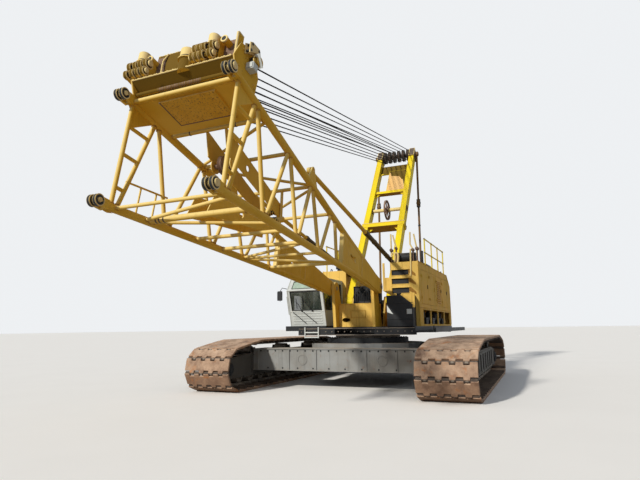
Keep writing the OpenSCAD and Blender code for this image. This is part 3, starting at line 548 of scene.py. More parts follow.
def piece(name, form, slot, body="upperworks", finish=None, replaces=()):
    """Object of the form: normals outward, smooth but for edges sharper than 32 degrees."""
    mesh = bpy.data.meshes.new(name)
    mesh.from_pydata(form.place(np.concatenate(form.points)).tolist(), [], form.faces)
    solid = bmesh.new()
    solid.from_mesh(mesh)
    bmesh.ops.recalc_face_normals(solid, faces=solid.faces)
    solid.to_mesh(mesh)
    solid.free()
    mesh.polygons.foreach_set("use_smooth", np.ones(len(mesh.polygons), bool))
    mesh.set_sharp_from_angle(angle=math.radians(32))
    mesh.materials.append(finishes[finish or slot])
    obj = bpy.data.objects.new(name, mesh)
    bpy.context.scene.collection.objects.link(obj)
    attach(obj, body)
    if replaces:
        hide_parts(*replaces)
    return obj


# ---- tracks ----
TURN_R, PIN_Z, SHOE_W, SHOES = 0.47, 0.11, 1.35, 50
WHEEL_X, WHEEL_Z = 3.61, 0.58
CARRIER_X, CARRIER_Z = 2.45, 1.23


def track_pins():
    """Pins (50, 2) of the loop in X and Z: whole shoes on the ground, the rest shared evenly."""
    reach = math.hypot(CARRIER_X - WHEEL_X, CARRIER_Z - WHEEL_Z)
    end = math.atan2(CARRIER_Z - WHEEL_Z, CARRIER_X - WHEEL_X) - math.acos(TURN_R / reach)
    a = np.linspace(-math.pi / 2, end, 400)
    arc = np.stack([WHEEL_X + TURN_R * np.cos(a), WHEEL_Z + TURN_R * np.sin(a)], -1)
    half = np.vstack([[(0.0, PIN_Z)], arc, [(CARRIER_X, CARRIER_Z), (0.0, CARRIER_Z)]])
    whole = np.vstack([half, (half * (-1.0, 1.0))[-2::-1]])
    at = along(whole)
    loop, half_ground = at[-1], 10
    pitch = (loop - 2 * WHEEL_X) / (SHOES - 2 * half_ground)
    i = np.arange(SHOES)
    far = np.where(i < half_ground, i * WHEEL_X / half_ground,
                   np.where(i <= SHOES - half_ground, WHEEL_X + (i - half_ground) * pitch,
                            loop - (SHOES - i) * WHEEL_X / half_ground))
    return np.stack([np.interp(far, at, whole[:, 0]), np.interp(far, at, whole[:, 1])], -1)


def shoe_outline(length):
    """Edges that interlock: five tabs and four notches across the shoe, half a gap short of a pin."""
    tab, notch, reach, gap, slant = 0.17, 0.125, 0.032, 0.008, 0.014
    front, y = [], -SHOE_W / 2
    for k in range(9):
        out = reach if k % 2 == 0 else -reach
        width = tab if k % 2 == 0 else notch
        inner = slant if k % 2 == 0 and k else 0
        outer = slant if k % 2 == 0 and k < 8 else 0
        front += [(out, y + inner), (out, y + width - outer)]
        y += width
    front = np.array(front)
    return np.vstack([front + (length - gap, 0.0), (front + (gap, 0.0))[::-1]])


def make_track(side, name):
    """Shoes and two rows of links, each laid between two pins; bars and knuckles at the pins."""
    pins = track_pins()
    shoes, links, bars, knuckles = (Form() for _ in range(4))
    for i in range(SHOES):
        p, q = pins[i], pins[(i + 1) % SHOES]
        length = float(np.linalg.norm(q - p))
        e = (q - p) / length
        n = np.array([e[1], -e[0]])

        def lay(points, p=p, e=e, n=n):
            a, y, out = points[:, 0], points[:, 1], points[:, 2]
            return np.stack([p[0] + e[0] * a + n[0] * out, side * TRACK_Y + y,
                             p[1] + e[1] * a + n[1] * out], -1)

        one = Form()
        one.slab(shoe_outline(length), 0.05, 0.108, 2, 0.008)
        for y in (-0.15, 0.15):
            for a in (0.3, 0.7):
                for dy in (-0.065, 0.065):
                    one.bolt((length * a, y + dy, 0.05), (0, 0, -1), 0.014)
        shoes.faces += [[k + shoes.count for k in face] for face in one.faces]
        laid = lay(np.concatenate(one.points))
        shoes.points.append(laid)
        shoes.count += len(laid)
        t = np.linspace(math.pi / 2, 3 * math.pi / 2, 7)
        ends = np.concatenate([np.stack([0.04 * np.cos(t), -0.012 + 0.042 * np.sin(t)], -1),
                               np.stack([length - 0.04 * np.cos(t), -0.012 - 0.042 * np.sin(t)], -1)])
        outline = p + ends[:, :1] * e + ends[:, 1:] * n
        for y in (-0.15, 0.15):
            half = 0.045 if i % 2 else 0.036
            links.slab(outline, side * TRACK_Y + y - half, side * TRACK_Y + y + half, 1, 0.004)
        links.turned([(0.02, -0.225), (0.02, 0.225)], (p[0], side * TRACK_Y, p[1]), (0, 1, 0), 8)
        before = unit(p - pins[i - 1])
        out = unit(n + (before[1], -before[0]))
        bars.turned([(0.047, -0.655), (0.047, 0.655)],
                    (p[0] + 0.043 * out[0], side * TRACK_Y, p[1] + 0.043 * out[1]), (0, 1, 0), 10)
        for y in (-0.4425, -0.1475, 0.1475, 0.4425):
            middle = (p[0] + 0.056 * out[0], side * TRACK_Y + y, p[1] + 0.056 * out[1])
            knuckles.turned([(0.026, -0.038), (0.04, -0.03), (0.04, 0.03), (0.026, 0.038)], middle,
                            (0, 1, 0), 10)
    piece(name + "_shoes", shoes, "track_rust", "undercarriage", "shoe_rust", (name,))
    piece(name + "_hinge_bars", bars, "track_rust", "undercarriage", "sheave_dark")
    piece(name + "_knuckles", knuckles, "worn_steel", "undercarriage")
    piece(name + "_links", links, "worn_steel", "undercarriage")


def make_running_gear():
    """Hub caps beside the wheels, ribs and bolts of the track frames."""
    hubs, ribs = Form(), Form()
    for side in (1, -1):
        for face in (1, -1):
            y = side * TRACK_Y + face * 0.35
            for x in (-WHEEL_X, WHEEL_X):
                if face == side or x > 0:
                    hubs.turned([(0.175, 0), (0.175, 0.03), (0.15, 0.045), (0.09, 0.05), (0.08, 0.075),
                                 (0.02, 0.08)], (x, y, WHEEL_Z), (0, face, 0), 28)
                    hubs.bolt_circle((x, y + face * 0.045, WHEEL_Z), (0, face, 0), 0.125, 8, 0.013)
            for k in range(9):
                x = -2.48 + 0.62 * k
                ribs.box((x - 0.012, y - 0.004 * face, 0.42), (x + 0.012, y + 0.028 * face, 0.86),
                         0.002)
            for z in (0.375, 0.905):
                ribs.box((-2.4, y, z - 0.011), (2.4, y + face * 0.03, z + 0.011))
            for k in range(11):
                hubs.bolt((0.58 * (k - 5), y, 0.345), (0, face, 0), 0.018)
    piece("track_hub_caps", hubs, "machine_dark", "undercarriage")
    piece("track_frame_ribs", ribs, "undercarriage_grey", "undercarriage", "frame_grey")


# ---- boom ----
# Side lacing, as in the part's source: s at the top chord, s at the bottom chord
SIDE_LINES = ((8.4, 8.38), (7.84, 8.27), (7.76, 7.16), (6.5, 7.08), (6.42, 5.85),
              (5.36, 5.77), (5.28, 4.72), (4.15, 4.64), (3.9, 3.6))
# Cross lacing: s on the left chord, s on the right chord, tube radius
TOP_LINES = ((8.42, 8.42, 0.04), (7.44, 7.44, 0.038), (7.38, 6.48, 0.03), (6.44, 6.44, 0.038),
             (5.33, 6.38, 0.03), (5.29, 5.29, 0.038), (5.24, 4.18, 0.03), (4.14, 4.14, 0.038))
BOTTOM_LINES = ((8.3, 8.3, 0.031), (8.15, 7.64, 0.031), (7.58, 7.58, 0.052), (6.8, 7.5, 0.03),
                (6.35, 6.35, 0.035), (5.52, 5.52, 0.038), (5.46, 4.7, 0.03), (4.65, 4.65, 0.03),
                (3.7, 4.58, 0.03), (3.64, 3.64, 0.038))
LUG_S, CHORD_R, HUB_S = 8.66, 0.07, 5.22


def chord(s, side, t):
    """Point of the left (side 1) or right (-1), upper (t 1) or lower (-1) chord at s."""
    return np.array([s, side * chord_y(s), t * chord_h(s)])


def weld(form, p, q, radius):
    """Rounded bead where the tube from p to q meets the chord at p: a ring leaning on the chord."""
    w = unit(q - p)
    c = p + w * (CHORD_R + 0.004)
    a = np.arange(6) * math.pi / 3
    bead = np.stack([radius + 0.004 + 0.01 * np.cos(a), 0.012 * np.sin(a)], -1)
    form.turned(bead, c, w, 14, True)


def make_welds():
    """Beads at both ends of every lacing tube, and clamp bands on two cross tubes."""
    beads = Form(boom_place)
    for side in (1, -1):
        for top, bottom in SIDE_LINES:
            p, q = chord(top, side, 1), chord(bottom, side, -1)
            weld(beads, p, q, LACE_R)
            weld(beads, q, p, LACE_R)
    for t, lines in ((1, TOP_LINES), (-1, BOTTOM_LINES)):
        for left, right, radius in lines:
            p, q = chord(left, 1, t), chord(right, -1, t)
            weld(beads, p, q, radius)
            weld(beads, q, p, radius)
    bands = Form(boom_place)
    for s, r, places in ((7.58, 0.052, (-0.8, -0.73, -0.64)), (7.44, 0.038, (-0.55, 0.35, 0.42))):
        for y in places:
            bands.turned([(r - 0.003, -0.016), (r + 0.006, -0.01), (r + 0.006, 0.01),
                          (r - 0.003, 0.016)], (s, y, (-1 if r > 0.05 else 1) * chord_h(s)), (0, 1, 0),
                         20, True)
    piece("lacing_weld_beads", beads, "boom_ochre", "boom", "weld_bead")
    piece("lacing_bands", bands, "track_rust", "boom", "sheave_dark")


def make_lugs():
    """Black ear faces with pale rims, and the pins with their pale heads and cotters."""
    faces, rims, pins, bases = (Form(boom_place) for _ in range(4))
    for side in (1, -1):
        for t in (1, -1):
            y, h = side * END_Y, t * END_H
            for e in (-0.06, 0.06):
                faces.turned([(0.043, -0.0262), (0.0965, -0.0262), (0.0965, 0.0262), (0.043, 0.0262)],
                             (LUG_S, y + e, h), (0, 1, 0), 32, True)
                for face in (-1, 1):
                    rims.turned([(0.08, 0.026), (0.0985, 0.0235), (0.0985, 0.027), (0.094, 0.0305),
                                 (0.082, 0.0305)], (LUG_S, y + e, h), (0, face, 0), 32, True)
            pins.turned([(0.05, -0.116), (0.058, -0.108), (0.058, -0.094), (0.0385, -0.09),
                         (0.0385, 0.104), (0.034, 0.11)], (LUG_S, y, h), (0, -side, 0), 24)
            pins.turned([(0.016, -0.122), (0.016, -0.114)], (LUG_S, y, h), (0, -side, 0), 12)
            pins.tube([(LUG_S + 0.055, y - side * 0.098, h), (LUG_S - 0.06, y - side * 0.098, h)],
                      0.005, 8)
            for gusset in (-1, 1):
                bases.slab([(8.3, h + gusset * 0.062), (8.462, h + gusset * 0.062),
                            (8.5, h + gusset * 0.086), (8.47, h + gusset * 0.096),
                            (8.4, h + gusset * 0.096)], y - 0.008, y + 0.008, 1, 0.002)
    piece("lug_ear_faces", faces, "machine_dark", "boom")
    piece("lug_ear_rims", rims, "boom_ochre", "boom", "cream")
    piece("lug_pins", pins, "boom_ochre", "boom", "cream")
    piece("lug_gussets", bases, "boom_ochre", "boom")


def make_deck():
    """Rust-freckled sheet under the pan, with a dark bead along two of its sides."""
    sheet, rim = Form(boom_place), Form(boom_place)
    slope = math.atan((END_H - FOOT_H) / BOOM_L)

    def pan(s, y, drop):
        return (s + drop * math.sin(slope), y, chord_h(s) - drop * math.cos(slope))

    low, high, grid = 7.75, 8.335, []
    for drop, inset in ((0.061, 0.01), (0.066, 0.0), (0.068, 0.004)):
        grid.append([pan(low + inset, -0.5 + inset, drop), pan(high - inset, -0.5 + inset, drop),
                     pan(high - inset, 0.54 - inset, drop), pan(low + inset, 0.54 - inset, drop)])
    sheet.rings(np.array(grid))
    rim.tube([pan(8.345, -0.512, 0.064), pan(7.742, -0.512, 0.064), pan(7.742, 0.55, 0.064)], 0.011, 8)
    piece("deck_liner", sheet, "boom_ochre", "boom", "freckled")
    piece("deck_rims", rim, "track_rust", "boom")


def make_boom_foot():
    """Foot plates: edge flanges, the pin's bosses, the keyhole's rim and the stiffening post."""
    trim = Form(boom_place)
    splay = math.atan((END_Y - FOOT_Y) / BOOM_L)
    for side in (1, -1):
        def at(s, out, h, side=side):
            return (s * math.cos(splay) - out * math.sin(splay),
                    side * (FOOT_Y + s * math.sin(splay) + out * math.cos(splay)), h)
        for t in (1, -1):
            path = [at(s, 0, t * (chord_h(s) + 0.055 if s > 1.9 else 0.2 + 0.06 * s / 1.85)) for s in
                    (0.25, 1.0, 1.84, 1.95, 2.6, 3.34)]
            trim.tube(path, 0.022, 10)
        for out in (0.07, -0.07):
            face = 1 if out > 0 else -1
            trim.ring(at(0, out, 0), (0, side * face, 0), 0.064, 0.15, 0.012, 28)
            trim.bolt_circle(at(0, out + 0.012 * face, 0), (0, side * face, 0), 0.115, 6, 0.012)
        for out in (0.05, -0.05):
            face = 1 if out > 0 else -1
            a = np.radians(np.arange(35, 330, 22))
            hole = [at(2.45 + 0.084 * math.cos(v), out, 0.084 * math.sin(v)) for v in a]
            rim = hole + [at(2.79, out, -0.034), at(2.79, out, 0.034)]
            trim.tube(rim, 0.008, 8, True)
            trim.tube([at(3.3, out, 0.3), at(3.3, out, -0.3)], 0.02, 10)
            for s in (2.1, 2.95):
                trim.tube([at(s, out, chord_h(s) - 0.03), at(s, out, -chord_h(s) + 0.03)], 0.007, 8)
    piece("boom_foot_trim", trim, "boom_ochre", "boom")


def make_inner_frame():
    """Rope wound on the hub tube, bolt heads round the arms' hub plates, and the arms' edge beads."""
    coil, trim = Form(boom_place), Form(boom_place)
    a = np.linspace(0, 2 * math.pi * 7, 7 * 20)
    for start, stop, h, r in ((-0.182, 0.182, 0.0, 0.068), (-0.182, 0.182, 0.18, 0.046)):
        y = np.linspace(start, stop, len(a))
        coil.tube(np.stack([HUB_S + r * np.cos(a), y, h + r * np.sin(a)], -1), 0.009, 6)
    for side in (1, -1):
        for t in (1, -1):
            edge = [(7.29, t * 0.42), (5.16, t * 0.045)], [(5.16, t * 0.325), (6.98, t * 0.735)]
            for (s0, h0), (s1, h1) in edge:
                trim.tube([(s0, side * 0.198, h0), (s1, side * 0.198, h1)], 0.012, 8)
            trim.ring((6.6, side * 0.206, t * 0.47), (0, side, 0), 0.061, 0.08, 0.008)
        trim.ring((7.04, side * 0.206, 0.33), (0, side, 0), 0.047, 0.08, 0.016)
        trim.bolt_circle((7.04, side * 0.206, 0.33), (0, side, 0), 0.105, 6, 0.011)
        trim.bolt_circle((HUB_S, side * 0.3, 0.0), (0, side, 0), 0.04, 5, 0.01)
    piece("inner_frame_rope", coil, "rope_steel", "boom", "pale_rope")
    piece("inner_frame_trim", trim, "boom_ochre", "boom")


# Hooked links of the bridle: places across the boom, as in the part's source
LINK_YS = (-1.09, -0.96, -0.85, -0.74, 0.27, 0.36, 0.45, 0.6)
# Eyes of each link: s, h, eye radius, pin radius
LINK_EYES = ((8.55, 1.58, 0.095, 0.038), (8.6, 1.4, 0.08, 0.028))
# Upright rollers of the bridle: s, y, high end, radius
ROLLERS = ((8.475, -0.93, 1.88, 0.1), (8.475, 0.52, 1.86, 0.09), (8.48, 0.04, 1.68, 0.125))


def torn(form, points, radius, rough):
    """Torn sheet edge: a bead whose radius swells and thins along the path as three crossed sines."""
    at = along(points)
    s = np.arange(0.0, at[-1], 0.012)
    path = np.stack([np.interp(s, at, np.asarray(points)[:, k]) for k in range(3)], -1)
    wave = np.sin(s * 83.0) * np.sin(s * 31.0 + 0.7) + 0.5 * np.sin(s * 171.0 + 1.9)
    path[:, 2] += 0.35 * rough * wave
    form.tube(path, radius + 0.5 * rough * wave, 8)


def make_bridle():
    """Pale rims on the hooked links, rollers' caps, guard pipe, bearing plates, torn sheet edges."""
    pale, dark, trim, box, rust = (Form(boom_place) for _ in range(5))
    for y in LINK_YS:
        for face in (-1, 1):
            for s, h, r, _ in LINK_EYES:
                pale.turned([(r - 0.024, 0.0295), (r + 0.001, 0.028), (r + 0.001, 0.032),
                             (r - 0.005, 0.035), (r - 0.02, 0.035)], (s, y, h), (0, face, 0), 24, True)
                dark.turned([(r - 0.058, 0.029), (r - 0.028, 0.029), (r - 0.028, 0.033),
                             (r - 0.058, 0.033)], (s, y, h), (0, face, 0), 20, True)
    for y, way in ((-1.14, -1), (-0.69, 1), (0.22, -1), (0.65, 1)):
        for s, h, _, r in LINK_EYES:
            pale.turned([(r, -0.02), (r + 0.018, 0.0), (r + 0.018, 0.018), (r + 0.008, 0.026)],
                        (s, y, h), (0, way, 0), 20)
            pale.turned([(0.012, 0.024), (0.012, 0.034)], (s, y, h), (0, way, 0), 10)
    for s, y, high, r in ROLLERS:
        pale.turned([(r + 0.002, high - 0.15), (r + 0.004, high - 0.14), (r + 0.004, high - 0.004),
                     (r - 0.012, high + 0.01), (0.03, high + 0.012), (0.026, high + 0.024)], (s, y, 0),
                    (0, 0, 1), 28)
        trim.ring((s, y, high - 0.205), (0, 0, 1), r, r + 0.028, 0.02)
        dark.ring((s, y, high - 0.18), (0, 0, 1), r, r + 0.006, 0.026)
    for y in (-0.74, 0.76):
        pale.turned([(0.042, 0.0), (0.06, 0.002), (0.066, 0.006), (0.066, 0.03), (0.06, 0.034),
                     (0.042, 0.034)], (8.51, y, 1.7), (1, 0, 0), 24, True)
        dark.disc((8.54, y, 1.7), (1, 0, 0), 0.043, 0.003, 20)
    for side in (1, -1):
        dark.turned([(0.065, 0), (0.101, 0), (0.101, 0.05), (0.065, 0.05)],
                    (BRIDLE_S, side * 1.06, BRIDLE_H), (0, side, 0), 32, True)
        trim.disc((BRIDLE_S, side * 1.18, BRIDLE_H), (0, side, 0), 0.085, 0.012, 32)
        trim.ring((BRIDLE_S, side * 1.112, BRIDLE_H), (0, side, 0), 0.1, 0.104, 0.02, 32)
        trim.bolt_circle((BRIDLE_S, side * 1.03, BRIDLE_H), (0, side, 0), 0.135, 8, 0.014)
        rim = [(8.44, 0.985), (8.46, 1.09), (8.56, 1.3), (8.42, 1.64), (8.0, 1.7), (7.85, 1.35),
               (7.9, 0.975)]
        trim.tube([(s, side * 1.015, h) for s, h in rim], 0.016, 8)
        for s, h in ((8.36, 1.56), (8.26, 1.62), (7.94, 1.4), (7.96, 1.15), (8.42, 1.2)):
            trim.bolt((s, side * 1.03, h), (0, side, 0), 0.018)
        # rope guard: two plates with spacers between them
        for low, high in ((1.034, 1.052), (1.12, 1.14)):
            pale.slab([(8.33, 1.5), (8.345, 1.69), (8.27, 1.74), (8.06, 1.755), (8.01, 1.64),
                       (8.14, 1.62)], side * low, side * high, 1, 0.004)
        for s, h in ((8.3, 1.56), (8.28, 1.69), (8.08, 1.7)):
            dark.turned([(0.022, 1.05), (0.022, 1.15)], (s, 0, h), (0, side, 0), 14)
    # tilted plate and junction box by the left end of the sheave shaft
    box.slab([(8.06, 1.37), (8.2, 1.55), (8.187, 1.56), (8.047, 1.38)], 1.15, 1.235, 1, 0.003)
    box.box((8.1, 1.03, 1.26), (8.24, 1.175, 1.385), 0.008)
    box.box((8.245, 1.045, 1.275), (8.252, 1.16, 1.37))
    # inside of the box at the left end, a dark sheet as painted shade, and the sheet left of the middle
    # roller
    rust.box((8.371, 0.67, 1.31), (8.375, 0.972, 1.79), 0.001)
    rust.box((8.371, -0.72, 1.32), (8.375, -0.53, 1.82), 0.001)
    pale.tube([(8.5, 0.988, 1.16), (8.5, 0.988, 1.79), (8.48, 0.988, 1.808), (8.35, 0.988, 1.808)],
              0.02, 10)
    # apron: stiffening ribs, torn front edge whose cream is partly painted highlight, bolts; rust bands
    # on the cross tube
    for y in np.linspace(-0.9, 0.9, 9):
        trim.slab([(8.3, 1.15), (8.548, 1.296), (8.54, 1.31), (8.38, 1.255)], y - 0.006, y + 0.006, 1,
                  0.002)
    torn(pale, [(8.564, -0.99, 1.29), (8.564, 0.99, 1.29)], 0.014, 0.01)
    for y in np.linspace(-0.94, 0.94, 13):
        trim.bolt((8.3, y, 1.2), (-1, 0, 0), 0.014)
    for k, y in enumerate(np.arange(-0.52, 0.36, 0.034)):
        wide = 0.006 + 0.008 * abs(math.sin(k * 2.4))
        rust.turned([(0.0346, -wide), (0.0365, -wide * 0.6), (0.0365, wide * 0.6), (0.0346, wide)],
                    (8.4, y, 1.11), (0, 1, 0), 16, True)
    # torn upper edges of the back plate and of the sheet's side, their cream partly painted highlight
    # where the edges catch the light
    for edge in ([(8.357, -0.72, 1.87), (8.357, 0.2, 1.87)],
                 [(8.357, -0.995, 1.76), (8.357, -0.74, 1.76)],
                 [(8.357, 0.215, 1.64), (8.357, 0.59, 1.64)],
                 [(8.38, -0.5, 1.86), (8.41, -0.56, 1.7), (8.42, -0.54, 1.42)]):
        torn(pale, edge, 0.014, 0.009)
    piece("bridle_pale_parts", pale, "boom_ochre", "boom", "cream")
    piece("bridle_dark_parts", dark, "machine_dark", "boom")
    piece("bridle_trim", trim, "boom_ochre", "boom")
    piece("bridle_rust", rust, "track_rust", "boom")
    piece("bridle_junction_box", box, "cab_grey", "boom")


def make_sheave_trim():
    """Sheaves: hub rings, flange rims and the lightening holes' rims."""
    for name, place, body, centre, ys in (
            ("head_sheave", row_place, "head_sheaves", HEAD,
             [s * r[0] for r in ROPE_RUNS for s in (-1, 1)]),
                                          ("bridle_sheave", boom_place, "bridle_sheaves",
                                           np.array([BRIDLE_S, 0.0, BRIDLE_H]),
                                           [s * r[1] for r in ROPE_RUNS for s in (-1, 1)])):
        hubs = Form(place)
        for y in ys:
            for face in (-1, 1):
                hubs.turned([(0.062, 0.036), (0.11, 0.038), (0.11, 0.044), (0.095, 0.05),
                             (0.066, 0.05)], centre + (0, y, 0), (0, face, 0), 24, True)
                hubs.turned([(0.196, 0.036), (0.247, 0.036), (0.247, 0.0405), (0.204, 0.0425)],
                            centre + (0, y, 0), (0, face, 0), 36, True)
                for a in np.arange(6) * math.pi / 3:
                    hubs.turned([(0.024, 0.036), (0.033, 0.036), (0.033, 0.042), (0.024, 0.042)],
                                centre + (0.153 * math.cos(a), y, 0.153 * math.sin(a)), (0, face, 0),
                                12, True)
        piece(name + "_rims", hubs, "worn_steel", body)


def make_rope_turns():
    """Rope's half turn round each sheave, between the two runs that leave it."""
    ends = {"head": (HEAD, 0, 1.0),
            "bridle": (boom_place(np.array([BRIDLE_S, 0.0, BRIDLE_H])), 1, -1.0)}
    run = ends["bridle"][0] - ends["head"][0]
    pitch = math.atan2(run[2], run[0])
    for name, (centre, column, back) in ends.items():
        turns = Form(row_place)
        a = pitch + np.linspace(math.pi / 2, 3 * math.pi / 2, 25) + (0.0 if back > 0 else math.pi)
        for rope in ROPE_RUNS:
            for side in (-1, 1):
                path = np.stack([centre[0] + 0.226 * np.cos(a), np.full_like(a, side * rope[column]),
                                 centre[2] + 0.226 * np.sin(a)], -1)
                turns.tube(path, 0.0138, 10)
        piece("rope_turns_" + name, turns, "rope_steel", "upperworks" if name == "head" else "boom")


def make_backstops():
    """Collars, stop rings and grease fittings on the backstop tubes, wiper rings on their mouths."""
    foot, tip = np.array([-1.02, 0.0, 3.44]), boom_place(np.array([5.37, 0.0, 0.97])) - (SLEW_X, 0.0,
            0.0)
    run = unit(tip - foot)
    trim = Form()
    for side in (1, -1):
        base = foot + (0.0, side * 0.88, 0.0)
        trim.turned([(0.066, 0.3), (0.078, 0.31), (0.078, 0.36), (0.066, 0.37)], base, run, 24, True)
        for d in (1.6, 2.9):
            trim.turned([(0.064, d), (0.074, d + 0.006), (0.074, d + 0.05), (0.064, d + 0.056)], base,
                        run, 24, True)
        trim.turned([(0.052, 3.698), (0.074, 3.698), (0.074, 3.715), (0.066, 3.725), (0.052, 3.725)],
                    base, run, 28, True)
        for a in (0.5, 2.6):
            trim.bolt(base + run * 3.64 + 0.074 * np.array([-run[2] * math.cos(a), math.sin(a),
                    run[0] * math.cos(a)]), (-run[2] * math.cos(a), math.sin(a), run[0] * math.cos(a)),
                      0.012)
        trim.ring(base + (0, side * 0.045, 0), (0, side, 0), 0.046, 0.085, 0.01)
    piece("backstop_collars", trim, "boom_ochre", "backstop_tubes", "backstop_paint")


# ---- undercarriage ----
def make_carbody_trim():
    """Flanges and bolts of the cross beams, the slew ring's bolts, pipes to the travel motors."""
    trim, bolts, pipes = Form(), Form(), Form()
    for x0 in (-2.05, 2.05):
        for face in (-1, 1):
            x = x0 + 0.32 * face
            for z in (0.492, 1.068):
                trim.box((x, -2.7, z - 0.012), (x + 0.03 * face, 2.7, z + 0.012))
            for y in (-2.55, -1.55, -0.72, 0.72, 1.55, 2.55):
                trim.box((x, y - 0.01, 0.5), (x + 0.026 * face, y + 0.01, 1.06), 0.002)
            for k in range(22):
                y = -2.46 + k * 0.234
                for z in (0.545, 1.015):
                    if k % 2 or z > 1:
                        bolts.bolt((x, y, z), (face, 0, 0), 0.017)
            for y in (-1.15, 1.15):
                trim.ring((x, y, 0.78), (face, 0, 0), 0.115, 0.15, 0.014, 28)
                bolts.bolt_circle((x, y, 0.78), (face, 0, 0), 0.132, 8, 0.009)
                trim.disc((x, y, 0.78), (face, 0, 0), 0.112, 0.006, 28)
    bolts.bolt_circle((0, 0, 1.33), (0, 0, 1), 1.195, 40, 0.02)
    for side in (-1, 1):
        for off in (0.0, 0.05):
            pipes.tube([(-1.35, side * (0.35 + off), 1.16), (-1.62, side * (0.38 + off), 1.14),
                        (-1.8, side * (0.5 + off), 1.118), (-1.9 - off, side * 1.2, 1.118),
                        (-1.9 - off, side * 2.3, 1.118), (-2.3, side * 2.52, 1.02),
                        (-2.95, side * 2.5, 0.82), (-3.35, side * 2.42, 0.7)], 0.019, 8)
        for y in (1.3, 1.9, 2.25):
            pipes.box((-1.985, side * y - 0.02, 1.08), (-1.875, side * y + 0.02, 1.142), 0.004)
    for side in (-1, 1):
        for k in range(12):
            a = k * math.pi / 6
            bolts.bolt((-WHEEL_X + 0.27 * math.cos(a), side * (TRACK_Y - 0.6),
                        WHEEL_Z + 0.27 * math.sin(a)), (0, -side, 0), 0.016)
    piece("carbody_flanges", trim, "undercarriage_grey", "undercarriage")
    piece("carbody_bolts", bolts, "machine_dark", "undercarriage")
    piece("carbody_pipes", pipes, "machine_dark", "undercarriage")


# ---- upperworks ----
def rect(axis, at, a0, a1, b0, b1):
    """Corners of a rectangle square to X (0) or Y (1) at a place."""
    flat = [(a0, b0), (a1, b0), (a1, b1), (a0, b1)]
    return [(at, a, b) if axis == 0 else (a, at, b) for a, b in flat]


